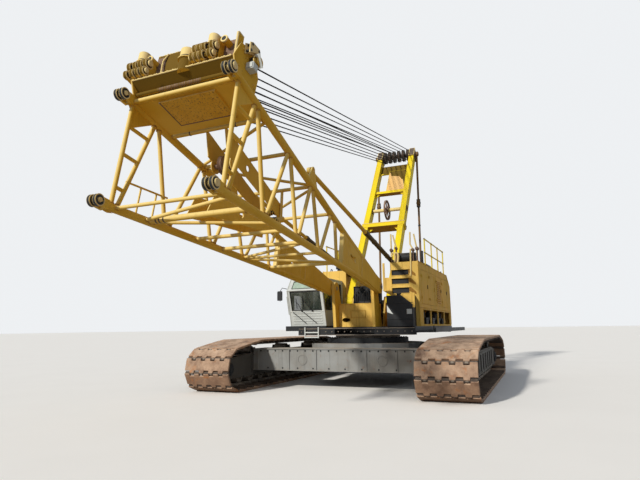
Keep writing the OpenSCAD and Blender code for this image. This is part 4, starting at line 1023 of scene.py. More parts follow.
def make_house():
    """Both houses: beads, slats, handles, roof and bay gear, the left one's front, the side tank."""
    trim, dark, slats, gear, bright, knuckle, grey, shade = (Form() for _ in range(8))
    panels = {1: (-4.2, -3.05, -0.75), -1: (-4.2, -3.05)}
    for side, starts in panels.items():
        y = side * HOUSE_Y
        for x in starts:
            trim.loop(rect(1, y, x + 0.02, x + 0.98, 2.32, 3.33), 0.005)
            for z in (2.5, 3.14):
                trim.turned([(0.012, -0.045), (0.012, 0.045)], (x + 0.985, y + side * 0.012, z),
                            (0, 0, 1), 10)
            dark.box((x + 0.06, y, 2.8), (x + 0.1, y + side * 0.02, 2.92), 0.006)
        louvred = (-3.05, -4.2) if side < 0 else (-3.05,)
        for x in louvred:
            for k in range(12):
                z = 2.42 + k * 0.066
                o = [(y - side * 0.004, z), (y + side * 0.03, z + 0.004), (y + side * 0.03, z + 0.01),
                     (y - side * 0.004, z + 0.044)]
                slats.slab(o, x + 0.16, x + 0.84, 0, 0.002)
        front = HOUSE_FRONT if side > 0 else -0.73
        trim.tube([(-4.3, y, ROOF_Z), (front, y, ROOF_Z)], 0.014, 8)
        trim.tube([(-4.3, side * 0.985, ROOF_Z), (front, side * 0.985, ROOF_Z)], 0.012, 8)
        trim.tube([(-4.3, y, ROOF_Z), (-4.895, y, 3.15), (-4.895, y, 1.7)], 0.014, 8)
        trim.tube([(front, y, 3.545), (front, y, 1.7)], 0.014, 8)
        trim.tube([(-4.8, y, 2.205), (front - 0.02, y, 2.205)], 0.016, 8)
        # leaves of the door's hinges
        for z in (2.49, 3.19):
            trim.box((-1.1, y, z - 0.03), (-0.96, y + side * 0.01, z + 0.03))
        # roof: ribs and lifting eyes
        for x in np.arange(-4.2, front - 0.1, 0.62):
            trim.box((x - 0.03, side * 0.99, 3.545), (x + 0.03, side * 1.77, 3.562), 0.005)
        for x in (-4.0, front - 0.45):
            for yy in (1.12, 1.66):
                gear.tube([(x - 0.07, side * yy, ROOF_Z), (x - 0.07, side * yy, 3.62),
                           (x - 0.045, side * yy, 3.66), (x, side * yy, 3.675),
                           (x + 0.045, side * yy, 3.66), (x + 0.07, side * yy, 3.62),
                           (x + 0.07, side * yy, ROOF_Z)], 0.014, 10)
    # pumps and pipes behind the bay openings
    bays = {1: (-4.2, -3.3, -2.35, -1.3, -0.35), -1: (-4.2, -3.3, -2.35, -1.4)}
    for side, starts in bays.items():
        for x in starts:
            gear.box((x - 0.2, side * 1.2, 1.7), (x + 0.14, side * 1.62, 1.93), 0.02)
            gear.turned([(0.09, 0), (0.1, 0.02), (0.1, 0.18), (0.07, 0.21), (0.03, 0.24)],
                        (x + 0.05, side * 1.45, 1.92), (0, 0, 1), 20)
            gear.bolt_circle((x - 0.03, side * 1.62, 1.81), (0, side, 0), 0.07, 6, 0.01)
            for j in range(3):
                z = 1.78 + 0.06 * j
                gear.tube([(x - 0.2, side * (1.5 + 0.03 * j), z),
                           (x - 0.36, side * (1.56 + 0.03 * j), z + 0.02),
                           (x - 0.52, side * 1.6, z + 0.13), (x - 0.66, side * 1.58, z + 0.24)], 0.016,
                          8)
    # front of the left house: hoods and rims of its slots, dark plates behind them and umber shadows
    # painted beside them, bolts at its edges
    for z in (3.15, 2.89, 2.616):
        trim.slab([(HOUSE_FRONT, z + 0.178), (0.604, z + 0.2), (0.632, z + 0.172), (0.628, z + 0.164)],
                  0.99, 1.53, 1, 0.002)
        trim.loop(rect(0, 0.602, 1.0, 1.52, z, z + 0.178), 0.009)
        # painted shade: a flat dark plate behind each slot stands in for the shade inside it
        dark.box((0.56, 1.002, z + 0.002), (0.566, 1.518, z + 0.176), 0.001)
        # painted shadow: a thin umber sheet beside each slot, cast down and out from its hood
        shade.slab([(1.524, z + 0.17), (1.575, z + 0.178), (1.72, z + 0.03), (1.735, z - 0.04),
                    (1.69, z - 0.03), (1.524, z + 0.06)], 0.6, 0.606, 0, 0.001)
    for yy in (0.985, 1.775):
        for z in np.arange(2.62, 3.5, 0.21):
            trim.bolt((HOUSE_FRONT, yy, z), (1, 0, 0), 0.011)
    # silencer on two saddles, and its stack
    gear.turned([(0.03, 0), (0.12, 0.01), (0.135, 0.05), (0.135, 0.78), (0.12, 0.82), (0.03, 0.83)],
                (-3.05, 1.38, 3.7), (1, 0, 0), 28)
    for x in (-2.9, -2.42):
        gear.box((x - 0.02, 1.3, ROOF_Z), (x + 0.02, 1.46, 3.6), 0.004)
    stack = [(-2.22, 1.38, 3.7), (-2.12, 1.38, 3.71), (-2.05, 1.38, 3.76), (-2.03, 1.38, 3.86),
             (-2.03, 1.38, 4.14), (-2.06, 1.38, 4.22)]
    gear.tube(stack, 0.052, 20)
    # air cleaner across the roof's front, on two saddles, with its bands; intake on the right roof
    gear.turned([(0.05, 1.04), (0.13, 1.05), (0.145, 1.09), (0.145, 1.66), (0.13, 1.7), (0.05, 1.71)],
                (0.28, 0, 3.715), (0, 1, 0), 28)
    for yy in (1.18, 1.54):
        gear.box((0.18, yy - 0.02, ROOF_Z), (0.38, yy + 0.02, 3.66), 0.004)
        gear.turned([(0.144, yy - 0.015), (0.152, yy - 0.012), (0.152, yy + 0.012),
                     (0.144, yy + 0.015)], (0.28, 0, 3.715), (0, 1, 0), 28, True)
    gear.turned([(0.1, 0), (0.1, 0.12), (0.15, 0.13), (0.15, 0.2), (0.1, 0.23)], (-1.35, -1.4, 3.555),
                (0, 0, 1), 28)
    # pairs of sling rods that stand in knuckles at the roof's front corners
    for path in ([(0.995, 4.43), (0.998, 3.97)], [(1.055, 4.4), (1.15, 4.02)],
                 [(1.59, 4.45), (1.58, 4.08), (1.66, 3.92)], [(1.7, 4.38), (1.775, 3.96)],
                 [(1.61, 3.92), (1.6, 3.42), (1.585, 3.12)], [(1.775, 3.9), (1.785, 3.64)]):
        x = 0.52 if path[-1][1] > 3.6 else 0.625
        bright.tube([(x, yy, z) for yy, z in path], 0.024, 10)
    for yy, z, r in ((1.0, 3.93, 0.055), (1.15, 3.98, 0.045), (1.66, 3.9, 0.05), (1.785, 3.93, 0.06)):
        knuckle.turned([(r * 0.5, -0.06), (r * 0.9, -0.045), (r, 0.0), (r * 0.9, 0.045),
                        (r * 0.5, 0.06)], (0.52, yy, z), (1, 0, 0.2), 16)
        knuckle.tube([(0.52, yy, 3.555), (0.52, yy, 3.7), (0.52, yy, z)], 0.026, 12)
        knuckle.disc((0.52, yy, 3.552), (0, 0, 1), 0.04, 0.016, 20)
    for yy in (1.09, 1.19):
        bright.tube([(0.54, yy, ROOF_Z), (0.54, yy + 0.02, 3.72), (0.54, yy + 0.01, 3.82),
                     (0.54, yy - 0.05, 3.85), (0.54, yy - 0.09, 3.79), (0.54, yy - 0.08, 3.72)], 0.032,
                    12)
    # cheek sheet between the house's front and the boom, with its folded edge and bolts
    trim.slab([(0.735, 2.7), (0.965, 2.56), (0.965, 3.1), (0.785, 3.1), (0.785, 3.545), (0.735, 3.545)],
              0.572, 0.6, 0, 0.004)
    bright.tube([(0.602, 0.735, 2.7), (0.602, 0.735, 3.545)], 0.014, 10)
    for z in (2.75, 3.03):
        trim.bolt((HOUSE_FRONT, 0.9, z), (1, 0, 0), 0.012)
    # side tank: straps, filler, a blank plate
    for z in (1.86, 2.32):
        dark.tube([(0.6, 0.915, z), (0.985, 0.915, z), (0.985, 1.695, z), (0.6, 1.695, z)], 0.009, 8)
    dark.turned([(0.06, 0), (0.06, 0.035), (0.072, 0.04), (0.072, 0.065), (0.05, 0.075)],
                (0.8, 1.25, 2.54), (0, 0, 1), 24)
    grey.box((0.978, 1.51, 2.0), (0.986, 1.66, 2.14), 0.002)
    for yy, z in ((1.525, 2.015), (1.645, 2.015), (1.525, 2.125), (1.645, 2.125)):
        grey.bolt((0.986, yy, z), (1, 0, 0), 0.006)
    # on the tank's front: a three-cornered yellow sheet under the house corner, a yellow strip and a
    # small grey three-cornered sheet
    trim.slab([(1.33, 2.565), (1.69, 2.565), (1.69, 2.27)], 0.979, 0.989, 0, 0.002)
    trim.box((0.979, 1.69, 2.18), (0.999, 1.76, 2.6), 0.006)
    grey.slab([(0.93, 2.26), (0.93, 2.06), (1.105, 2.0)], 0.979, 0.985, 0, 0.001)
    piece("house_trim", trim, "house_yellow")
    piece("house_slats", slats, "house_yellow", finish="louvre")
    piece("house_handles", dark, "machine_dark")
    piece("bay_and_roof_gear", gear, "machine_dark")
    piece("roof_sling_rods", bright, "house_yellow", finish="cream")
    piece("roof_knuckles", knuckle, "track_rust")
    piece("tank_plate", grey, "cab_grey")
    piece("slot_shadows", shade, "house_yellow", finish="umber")


def make_deck_trim():
    """Walkway treads, kick strips, handrail flanges, the low box's front, column bosses, tail ribs."""
    treads, trim, rail = Form(), Form(), Form()
    for low, high, y0, y1 in ((-4.48, 1.18, 1.83, 2.33), (-4.48, -0.74, -2.33, -1.83)):
        for x in np.arange(low, high, 0.105):
            treads.box((x - 0.009, y0, 1.518), (x + 0.009, y1, 1.529), 0.002)
        outer = 2.345 if y1 > 0 else -2.345
        treads.box((low, outer - 0.006, 1.5), (high, outer + 0.006, 1.6), 0.002)
    for side in (1, -1):
        y = side * 1.72
        for x in (-0.9, -2.0, -3.1, -4.2):
            rail.disc((x, y, ROOF_Z), (0, 0, 1), 0.055, 0.014, 16)
            rail.bolt_circle((x, y, 3.563), (0, 0, 1), 0.04, 4, 0.007)
            for z in (4.0, 4.45):
                rail.turned([(0.01, -0.03), (0.028, -0.016), (0.03, 0.0), (0.028, 0.016), (0.01, 0.03)],
                            (x, y, z), (0, 0, 1), 12)
        trim.ring((1.152, side * 0.56, 2.8), (0, -side, 0), 0.062, 0.12, 0.014, 28)
        for face, yy in ((1, 0.83), (-1, 0.49)):
            trim.ring((-0.35, side * yy, 2.45), (0, side * face, 0), 0.052, 0.105, 0.012, 28)
        for yy in (0.572, 0.638):
            trim.tube([(0.565, side * yy, 1.66), (0.957, side * yy, 2.8)], 0.01, 8)
            trim.tube([(1.235, side * yy, 1.66), (1.337, side * yy, 2.78)], 0.01, 8)
        rail.turned([(0.02, 0), (0.072, 0.004), (0.072, 0.012), (0.02, 0.014)],
                    (1.152, side * 0.83, 2.8), (0, side, 0), 24)
        rail.bolt((1.152, side * 0.844, 2.8), (0, side, 0), 0.02)
    trim.loop(rect(0, 1.0, -0.55, 0.55, 1.665, 2.335), 0.011)
    oval = np.arange(20) * math.pi / 10
    trim.loop([(1.003, -0.33 + 0.135 * math.cos(a), 1.86 + 0.07 * math.sin(a)) for a in oval], 0.008)
    for inset in (0.0, 0.024):
        trim.loop(rect(0, 1.0, -0.19 + inset, 0.29 - inset, 1.915 + inset, 2.135 - inset), 0.005)
    for yy in (-0.52, -0.18, 0.18, 0.52):
        for z in (1.7, 2.3):
            trim.bolt((1.0, yy, z), (1, 0, 0), 0.013)
    for y in (-1.4, -0.7, 0.0, 0.7, 1.4):
        trim.box((-5.078, y - 0.15 - 0.01, 1.45), (-5.058, y - 0.15 + 0.01, 1.97))
    trim.box((-5.085, -1.745, 1.425), (-5.058, 1.745, 1.45))
    # front beam: flanges and bolts
    for z in (1.425, 1.612):
        rail.box((1.25, -1.78, z - 0.008), (1.268, 1.78, z + 0.008), 0.002)
    for y in np.arange(-1.7, 1.75, 0.2):
        rail.bolt((1.25, y, 1.52), (1, 0, 0), 0.013)
    piece("walkway_treads", treads, "machine_dark")
    piece("column_trim", trim, "house_yellow")
    piece("rail_flanges", rail, "worn_steel")


CAB_Y0, CAB_Y1 = -2.3, -1.1
SCREEN_Y0, SCREEN_Y1 = CAB_Y1 - 0.09 - 1.02, CAB_Y1 - 0.09


def screen_x(z):
    """Cab's front face: it leans forwards by 120 mm to z 2.15, by 200 to 2.80, then back by 290."""
    return float(np.interp(z, (1.7, 2.15, 2.8, 3.18), (0.72, 0.84, 1.04, 0.75)))


def make_cab():
    """Window seals, pressed stripes, corner tubes, wipers, mirror, lamps, levers, the door's trim."""
    seal, trim, dark, glass = Form(), Form(), Form(), Form()
    corners = ((SCREEN_Y0, 2.19), (SCREEN_Y1, 2.19), (SCREEN_Y1, 2.77), (SCREEN_Y0, 2.77))
    seal.loop([(screen_x(z) + 0.002, y, z) for y, z in corners], 0.014)
    corners = ((-2.16, 2.86), (-1.24, 2.86), (-1.24, 3.1), (-2.16, 3.1))
    seal.loop([(screen_x(z), y, z) for y, z in corners], 0.012)
    side_glass = [(0.74, 2.2), (0.92, 2.78), (0.72, 3.06), (0.2, 3.06), (0.2, 2.2)]
    seal.loop([(x, CAB_Y1, z) for x, z in side_glass], 0.012)
    seal.loop(rect(1, CAB_Y1, -0.58, 0.12, 2.2, 3.06), 0.012)
    seal.loop(rect(0, -0.7, -2.18, -1.22, 2.3, 3.04), 0.012)
    # lower front panel: pressed stripes; gutter; corner tubes
    for z in np.arange(1.775, 2.13, 0.08):
        x = screen_x(z + 0.01)
        trim.box((x - 0.004, -2.2, z), (x + 0.014, -1.2, z + 0.03), 0.004)
        dark.box((x - 0.012, -2.16, z + 0.036), (x + 0.008, -1.24, z + 0.066), 0.002)
    trim.tube([(0.75, CAB_Y0, 3.18), (-0.7, CAB_Y0, 3.18), (-0.7, CAB_Y1, 3.18), (0.75, CAB_Y1, 3.18)],
              0.016, 10, True)
    for y in (CAB_Y0, CAB_Y1):
        trim.tube([(0.72, y, 1.7), (0.84, y, 2.15), (1.04, y, 2.8), (0.75, y, 3.18)], 0.018, 10)
        trim.tube([(-0.7, y, 1.7), (-0.7, y, 3.17)], 0.016, 10)
    trim.tube([(1.04, CAB_Y0, 2.8), (1.04, CAB_Y1, 2.8)], 0.016, 10)
    trim.tube([(0.84, CAB_Y0, 2.152), (0.84, CAB_Y1, 2.152)], 0.013, 10)
    # grab rail
    y = CAB_Y0 - 0.045
    trim.tube([(0.79, CAB_Y0, 2.06), (0.8, y, 2.07), (0.83, y, 2.16), (0.965, y, 2.62),
               (0.97, CAB_Y0, 2.65)], 0.014, 10)
    # wipers
    for y, top, lean in ((-1.5, 2.63, -0.3), (-1.86, 2.56, -0.16)):
        dark.turned([(0.022, -0.01), (0.026, 0.0), (0.026, 0.03), (0.018, 0.045)], (0.85, y, 2.168),
                    (1, 0, 0), 16)
        dark.tube([(0.884, y, 2.168), (screen_x(2.36) + 0.04, y + lean * 0.5, 2.36),
                   (screen_x(top) + 0.03, y + lean, top - 0.1)], 0.009, 8)
        dark.tube([(screen_x(2.24) + 0.016, y + lean * 1.02, 2.24),
                   (screen_x(top) + 0.016, y + lean * 0.98, top)], 0.01, 8)
        dark.tube([(0.88, y - 0.3, 2.13), (0.83, y - 0.1, 1.96), (0.79, y + 0.1, 1.79)], 0.012, 8)
    # mirror on its arm, lamps' rims and lenses
    dark.tube([(0.94, CAB_Y0, 2.86), (1.06, CAB_Y0 - 0.16, 2.9), (1.08, CAB_Y0 - 0.22, 2.8),
               (1.08, CAB_Y0 - 0.22, 2.48)], 0.011, 8)
    dark.slab([(CAB_Y0 - 0.3, 2.5), (CAB_Y0 - 0.14, 2.5), (CAB_Y0 - 0.13, 2.53), (CAB_Y0 - 0.13, 2.77),
               (CAB_Y0 - 0.15, 2.8), (CAB_Y0 - 0.29, 2.8), (CAB_Y0 - 0.31, 2.77),
               (CAB_Y0 - 0.31, 2.53)], 1.085, 1.12, 0, 0.01)
    for y in (-2.15, -1.35):
        dark.turned([(0.07, 0.05), (0.086, 0.052), (0.086, 0.072), (0.07, 0.074)], (0.73, y, 3.29),
                    (1, 0, 0), 28, True)
        glass.turned([(0.078, 0.055), (0.066, 0.066), (0.03, 0.072)], (0.73, y, 3.29), (1, 0, 0), 28)
    # control levers and the travel levers, seen through the screen
    for y in (-1.98, -1.36):
        dark.tube([(0.1, y + 0.04, 2.38), (0.12, y + 0.04, 2.52), (0.1, y + 0.04, 2.6)], 0.008, 8)
        dark.turned([(0.012, 0), (0.024, 0.02), (0.026, 0.06), (0.012, 0.09)], (0.1, y + 0.04, 2.59),
                    (0, 0, 1), 12)
    for y in (-1.85, -1.72, -1.6):
        dark.tube([(0.6, y, 1.76), (0.58, y, 1.95), (0.48, y, 2.18)], 0.01, 8)
    piece("cab_seals", seal, "machine_dark")
    piece("cab_frame_tubes", trim, "cab_grey")
    piece("cab_wipers_and_mirror", dark, "machine_dark")
    piece("lamp_lenses", glass, "cab_grey", finish="lens")
    # on the door: handle, window's seal and the bead round the lower panel
    door, door_seal = Form(), Form()
    door_seal.loop(rect(1, CAB_Y0 - 0.002, 0.02, 0.58, 2.16, 2.69), 0.012)
    door.tube([(0.57, CAB_Y0, 2.02), (0.57, CAB_Y0 - 0.045, 2.03), (0.57, CAB_Y0 - 0.045, 2.14),
               (0.57, CAB_Y0, 2.15)], 0.009, 8)
    door.loop(rect(1, CAB_Y0 - 0.001, -0.02, 0.62, 1.8, 2.1), 0.006)
    piece("cab_door_seal", door_seal, "machine_dark", "cab_door")
    piece("cab_door_trim", door, "cab_grey", "cab_door")


def pillow(form, centre, half, crown=0.35, tilt=0.0):
    """Padded block: a superellipsoid, its faces crowned and its rim drawn in to a seam."""
    u, v = np.meshgrid(np.linspace(-math.pi / 2 + 0.05, math.pi / 2 - 0.05, 17),
                       np.linspace(0, 2 * math.pi, 32, endpoint=False), indexing="ij")

    def power(t, e):
        return np.sign(t) * np.abs(t) ** e
    pinch = 1.0 - 0.035 * np.exp(-(u / 0.12) ** 2)
    p = np.stack([power(np.cos(u), crown) * power(np.cos(v), 0.3) * half[0] * pinch,
                  power(np.cos(u), crown) * power(np.sin(v), 0.3) * half[1] * pinch,
                  power(np.sin(u), 0.75) * half[2]], -1)
    c, s = math.cos(tilt), math.sin(tilt)
    turned = np.stack([p[..., 0] * c + p[..., 2] * s, p[..., 1], -p[..., 0] * s + p[..., 2] * c], -1)
    form.rings(turned + np.asarray(centre, float))


def make_seat():
    """Operator's seat: padded cushion, back and headrest on a suspension base between two consoles."""
    base = Form()
    base.box((-0.15, -1.8, 1.74), (0.15, -1.55, 2.04), 0.012)
    for z in np.arange(1.8, 2.03, 0.035):
        base.tube([(-0.165, -1.815, z), (0.165, -1.815, z), (0.165, -1.535, z), (-0.165, -1.535, z)],
                  0.016, 8, True)
    base.box((-0.24, -1.93, 2.05), (0.26, -1.45, 2.1), 0.01)
    for y in (-2.08, -1.4):
        base.slab([(-0.15, 1.74), (0.2, 1.74), (0.42, 2.25), (0.42, 2.36), (0.38, 2.38), (-0.15, 2.38)],
                  y, y + 0.09, 1, 0.012)
        for x in (0.16, 0.24, 0.32):
            base.bolt((x, y + 0.045, 2.378), (0, 0, 1), 0.012)
    for y in (-1.74, -1.64):
        base.tube([(-0.31, y, 2.85), (-0.33, y, 2.94)], 0.008, 8)
    piece("seat_base", base, "machine_dark", replaces=("cab_seat",))
    for name, centre, half, lean in (
            ("seat_cushion", (0.02, -1.69, 2.165), (0.265, 0.255, 0.068), 0.06),
            ("seat_back", (-0.305, -1.69, 2.51), (0.07, 0.245, 0.345), -0.12),
            ("seat_headrest", (-0.35, -1.69, 2.985), (0.045, 0.13, 0.075), -0.06)):
        cushion = Form()
        if half[0] < half[2]:
            shape = Form()
            pillow(shape, (0, 0, 0), (half[2], half[1], half[0]))
            p = shape.points[0]
            x, z = p[:, 2], p[:, 0]
            cushion.points = [np.stack([x * math.cos(lean) + z * math.sin(lean), p[:, 1],
                                        -x * math.sin(lean) + z * math.cos(lean)], -1) + centre]
            cushion.faces, cushion.count = shape.faces, shape.count
        else:
            pillow(cushion, centre, half, tilt=lean)
        piece(name, cushion, "seat_cloth")


def make_gantry():
    """Gussets, end plates and bolts of the gantry, rope guards, the links' pins and knuckle plates."""
    trim, pale, dark = (Form(gantry_place) for _ in range(3))
    for side in (1, -1):
        for l, h in ((5.18, -1), (3.29, -1), (3.46, 1), (6.48, -1)):
            y = side * 0.565
            trim.slab([(y, l), (y - side * 0.16, l), (y, l + h * 0.16)], -0.01, 0.01, 0, 0.002)
        for y in (0.565, 0.755):
            for x in (0.15, -0.15):
                trim.tube([(x, side * y, 0.1), (x, side * y, GANTRY_L - 0.27)], 0.01, 8)
        for l in np.arange(0.9, 7.0, 0.85):
            trim.box((-0.152, side * LEG_Y - 0.1, l - 0.006), (0.152, side * LEG_Y + 0.1, l + 0.006),
                     0.002)
        for face in (-1, 1):
            y = side * LEG_Y + face * 0.095
            trim.ring((0, y, 0), (0, face, 0), 0.052, 0.14, 0.014, 28)
            dark.ring((0, y, LEG_SHEAVE_L), (0, face, 0), 0.056, 0.11, 0.02, 24)
            dark.bolt_circle((0, y + face * 0.014, LEG_SHEAVE_L), (0, face, 0), 0.085, 6, 0.01)
        for x in (-0.12, 0.0, 0.12):
            for l in (3.32, 3.375, 3.43):
                dark.bolt((x, side * 0.8, l), (0, side, 0), 0.016)
        for l in np.arange(GANTRY_L - 0.22, GANTRY_L + 0.16, 0.09):
            for x in (-0.16, 0.16):
                dark.bolt((x, side * 0.775, l), (0, side, 0), 0.015)
        dark.ring((0, side * 0.775, GANTRY_L), (0, side, 0), 0.062, 0.13, 0.022, 32)
        dark.disc((0, side * 0.888, GANTRY_L), (0, side, 0), 0.078, 0.016, 28)
        for l in (5.2, 5.29):
            for y in (0.1, 0.25, 0.4):
                pale.bolt((0.08, side * y, l), (1, 0, 0), 0.009)
    dark.tube([(-0.204, -0.565, GANTRY_L + 0.165), (-0.204, 0.565, GANTRY_L + 0.165)], 0.02, 12)
    # face of the plate below the head, with its folded edges
    slant = [(0.562, 5.5), (0.45, 5.84), (0.28, 6.12), (-0.05, 6.2), (-0.11, 6.4)]
    pale.slab([(-0.148, 5.32), (0.562, 5.32), *slant, (-0.148, 6.4)], 0.08, 0.084, 0, 0.002)
    for y in (-0.15, 0.565):
        trim.tube([(0.082, y, 5.31), (0.082, y, 6.498)], 0.008, 8)
    for l in np.arange(6.54, 7.0, 0.1):
        for y in (-0.5, 0.5):
            dark.bolt((-0.05, y, l), (1, 0, 0), 0.012)
    under, lip, shaded, guard = (Form(gantry_place) for _ in range(4))
    # painted shade: a dark olive skin over the head plate's upper part, beside its slanted edge
    shaded.slab([*slant, (-0.148, 6.4), (-0.148, 6.49), (0.562, 6.49)], 0.08, 0.083, 0, 0.001)
    guard.box((-0.05, -0.562, 6.485), (-0.046, 0.562, 6.995), 0.001)
    lip.tube([(0.086, 0.56, 5.38), (0.086, 0.44, 5.9)], 0.014, 8)
    lip.box((0.165, -0.8, 3.452), (0.186, 0.8, 3.472), 0.004)
    for side in (1, -1):
        for x in (0.19, -0.19):
            low, high = sorted((side * 0.566, side * 0.774))
            lip.tube([(x, low, GANTRY_L - 0.255), (x, low, GANTRY_L + 0.186),
                      (x, high, GANTRY_L + 0.186), (x, high, GANTRY_L - 0.255)], 0.013, 8, True)
    # painted shade: umber skins on the undersides of the two cross members
    for x, l in ((0.16, 3.285), (0.076, 5.175)):
        under.box((-x, -0.56, l), (x, 0.56, l + 0.005), 0.001)
    piece("gantry_underside_shade", under, "gantry_yellow", finish="umber")
    piece("head_guard_skin", guard, "gantry_yellow", finish="olive")
    piece("head_plate_shade", shaded, "gantry_yellow", finish="olive")
    piece("gantry_lips", lip, "gantry_yellow", finish="cream")
    piece("gantry_trim", trim, "gantry_yellow")
    piece("gantry_plates", pale, "gantry_yellow", finish="peach")
    piece("gantry_bolts", dark, "track_rust")
    wheel, sleeve = Form(gantry_place), Form(gantry_place)
    for face in (-1, 1):
        wheel.turned([(0.35, 0.024), (0.38, 0.024), (0.381, 0.028), (0.352, 0.029)],
                     (0, 0, LEG_SHEAVE_L), (0, face, 0), 48, True)
        wheel.bolt_circle((0, face * 0.06, LEG_SHEAVE_L), (0, face, 0), 0.072, 6, 0.01)
        for a in np.arange(6) * math.pi / 3 + math.pi / 6:
            c, s = math.cos(a), math.sin(a)
            wheel.tube([(0.09 * c, face * 0.012, LEG_SHEAVE_L + 0.09 * s),
                        (0.345 * c, face * 0.012, LEG_SHEAVE_L + 0.345 * s)], 0.012, 8)
        sleeve.turned([(0.056, 0.065), (0.066, 0.068), (0.066, 0.526), (0.056, 0.53)],
                      (0, 0, LEG_SHEAVE_L), (0, face, 0), 24, True)
    piece("leg_sheave_ribs", wheel, "track_rust", "leg_sheave")
    piece("leg_sheave_sleeves", sleeve, "boom_ochre", "leg_sheave", "cream")
    links, plates = Form(), Form()
    head, foot = np.array([-4.6, 0.0, 8.66]), np.array([-4.35, 0.0, 2.1])
    knuckle = head + (foot - head) * 0.32
    run = unit(foot - head)
    for side in (1, -1):
        off = np.array([0.0, side * 0.83, 0.0])
        for p in (head, knuckle, foot):
            for face in (-1, 1):
                links.turned([(0.062, 0), (0.098, 0.002), (0.094, 0.012), (0.062, 0.014)],
                             p + off + (0, face * 0.045, 0), (0, face, 0), 28, True)
        plates.turned([(0.03, -0.085), (0.045, -0.075), (0.045, 0.075), (0.03, 0.085)], knuckle + off,
                      (0, 1, 0), 20)
        for face in (-1, 1):
            q = knuckle + off + (0, face * 0.058, 0)
            plates.tube([q - run * 0.16, q + run * 0.16], 0.02, 8)
        plates.turned([(0.02, 0), (0.062, 0.004), (0.062, 0.016), (0.02, 0.02)],
                      foot + off + (0, side * 0.06, 0), (0, side, 0), 20)
        for d in (0.14, 0.9):
            plates.turned([(0.0385, 0), (0.052, 0.01), (0.052, 0.06), (0.0385, 0.07)],
                          knuckle + off + run * d, run, 16, True)
    piece("link_eye_rims", links, "boom_ochre", finish="link_brown")
    piece("link_knuckles", plates, "machine_dark")


def make_valve_bank():
    """Control valves behind the centre box: a framed back sheet (painted shade), blocks, looped hoses.
    """
    bank = Form()
    # painted shade: the dark back sheet stands in for the shade in the well between the boom's feet
    bank.box((-0.125, -0.46, 1.66), (-0.115, 0.46, 2.93), 0.002)
    bank.loop(rect(0, -0.105, -0.455, 0.455, 1.67, 2.925), 0.022)
    for z, depth in ((1.74, 0.34), (2.02, 0.3), (2.28, 0.26)):
        bank.box((-0.1, -0.4, z), (-0.1 + depth, 0.4, z + 0.17), 0.015)
        for y in np.linspace(-0.36, 0.36, 9):
            bank.turned([(0.026, 0), (0.03, 0.01), (0.03, 0.05), (0.018, 0.06), (0.018, 0.09)],
                        (-0.1 + depth, y, z + 0.085), (1, 0, 0), 10)
    a = np.linspace(0, math.pi, 15)
    for k, y in enumerate(np.linspace(-0.38, 0.38, 12)):
        reach, top = 0.09 + 0.02 * (k % 3), 2.62 + 0.07 * (k * 5 % 4)
        arch = np.stack([0.03 + reach * np.cos(a), np.full_like(a, y) + 0.012 * a,
                         top + 0.06 * np.sin(a)], -1)
        bank.tube(np.vstack([[(0.03 + reach, y, 2.4)], arch, [(0.03 - reach, y + 0.04, 2.4)]]), 0.019,
                  10)
    piece("valve_bank", bank, "machine_dark")


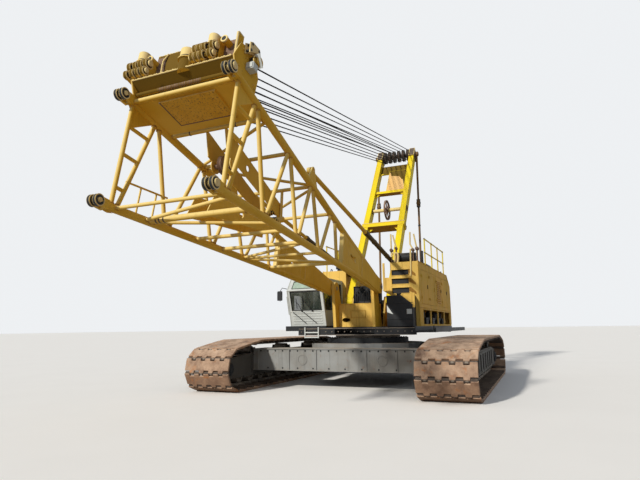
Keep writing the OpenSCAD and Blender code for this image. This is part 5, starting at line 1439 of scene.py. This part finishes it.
def make_drums():
    """Rope wound on each drum in one even layer, brake rings on the flanges, bearing caps."""
    caps = Form()
    for name, body, x, z, r in (("front", "front_drum", -1.35, 2.25, 0.48),
                                ("rear", "rear_drum", -2.5, 2.25, 0.48),
                                ("luffing", "luffing_drum", -3.6, 2.2, 0.42)):
        rope, rims = Form(), Form()
        barrel, pitch = r * 0.55, 0.028
        y = np.arange(-0.49, 0.4901, pitch / 6)
        swell = np.abs(np.cos(math.pi * (y + 0.49) / pitch)) ** 0.7
        layer = np.stack([barrel + 0.016 + 0.01 * swell, y], -1)
        rope.turned(np.vstack([[(barrel - 0.01, -0.49)], layer, [(barrel - 0.01, 0.49)]]), (x, 0, z),
                    (0, 1, 0), 40)
        piece("rope_on_" + name + "_drum", rope, "rope_steel", body)
        for face in (-1, 1):
            for low, high in ((r - 0.05, r - 0.002), (barrel + 0.06, barrel + 0.09)):
                rims.turned([(low, 0.529), (high, 0.529), (high, 0.538), (low, 0.541)], (x, 0, z),
                            (0, face, 0), 40, True)
            for a in np.arange(8) * math.pi / 4:
                c, s = math.cos(a), math.sin(a)
                rims.tube([(x + (barrel + 0.09) * c, face * 0.534, z + (barrel + 0.09) * s),
                           (x + (r - 0.05) * c, face * 0.534, z + (r - 0.05) * s)], 0.008, 6)
            caps.ring((x, face * 0.63, z), (0, face, 0), 0.062, 0.105, 0.03, 28)
            caps.bolt_circle((x, face * 0.655, z), (0, face, 0), 0.084, 6, 0.01)
            caps.box((x - 0.15, face * 0.56, z + 0.13), (x + 0.15, face * 0.64, z + 0.15), 0.004)
        piece(name + "_drum_rims", rims, "worn_steel", body)
    piece("drum_bearing_caps", caps, "machine_dark")


make_track(1, "track_left")
make_track(-1, "track_right")
for make in (make_running_gear, make_carbody_trim, make_welds, make_lugs, make_deck, make_boom_foot,
             make_inner_frame, make_bridle, make_sheave_trim, make_rope_turns, make_backstops,
             make_house, make_deck_trim, make_cab, make_seat, make_gantry, make_valve_bank, make_drums):
    make()


def make_stage():
    """Pale floor, wide enough to reach the horizon, and a plain pale sky."""
    data = bpy.data.meshes.new("floor")
    r = 400.0
    data.from_pydata([(-r, -r, 0), (r, -r, 0), (r, r, 0), (-r, r, 0)], [], [(0, 1, 2, 3)])
    floor = bpy.data.objects.new("floor", data)
    bpy.context.scene.collection.objects.link(floor)
    f = Finish("floor")
    grain = f.noise(0.6, 6.0)
    sent = f.blend(grain, (0.33, 0.305, 0.27), (0.39, 0.365, 0.325))
    pale = f.blend(grain, (0.94, 0.93, 0.91), (0.99, 0.98, 0.96))
    data.materials.append(f.close(Base_Color=f.blend(f.seen(), sent, pale), Roughness=0.9,
                                  Specular_IOR_Level=0.1))
    world = bpy.data.worlds.new("sky")
    world.use_nodes = True
    bpy.context.scene.world = world
    sky = Nodes(world.node_tree)
    plain, pale = (sky.node("ShaderNodeBackground", None, {"Color": colour, "Strength": strength})
                   for colour, strength in (((0.8, 0.86, 0.95), 0.33), ((0.9, 0.92, 0.94), 0.95)))
    either = sky.node("ShaderNodeMixShader", None,
                      {0: sky.seen(), 1: plain["Background"], 2: pale["Background"]})
    sky.node("ShaderNodeOutputWorld", None, {"Surface": either["Shader"]})


make_stage()
make_lamp("key", "SUN", (0.85, -0.3, 0.5), 3.3, angle=math.radians(4), color=(1.0, 0.95, 0.86))
make_lamp("fill", "SUN", (0.9, 0.9, 0.35), 0.16, angle=math.radians(60), color=(0.93, 0.96, 1.0))
bpy.context.scene.view_settings.view_transform = "Standard"
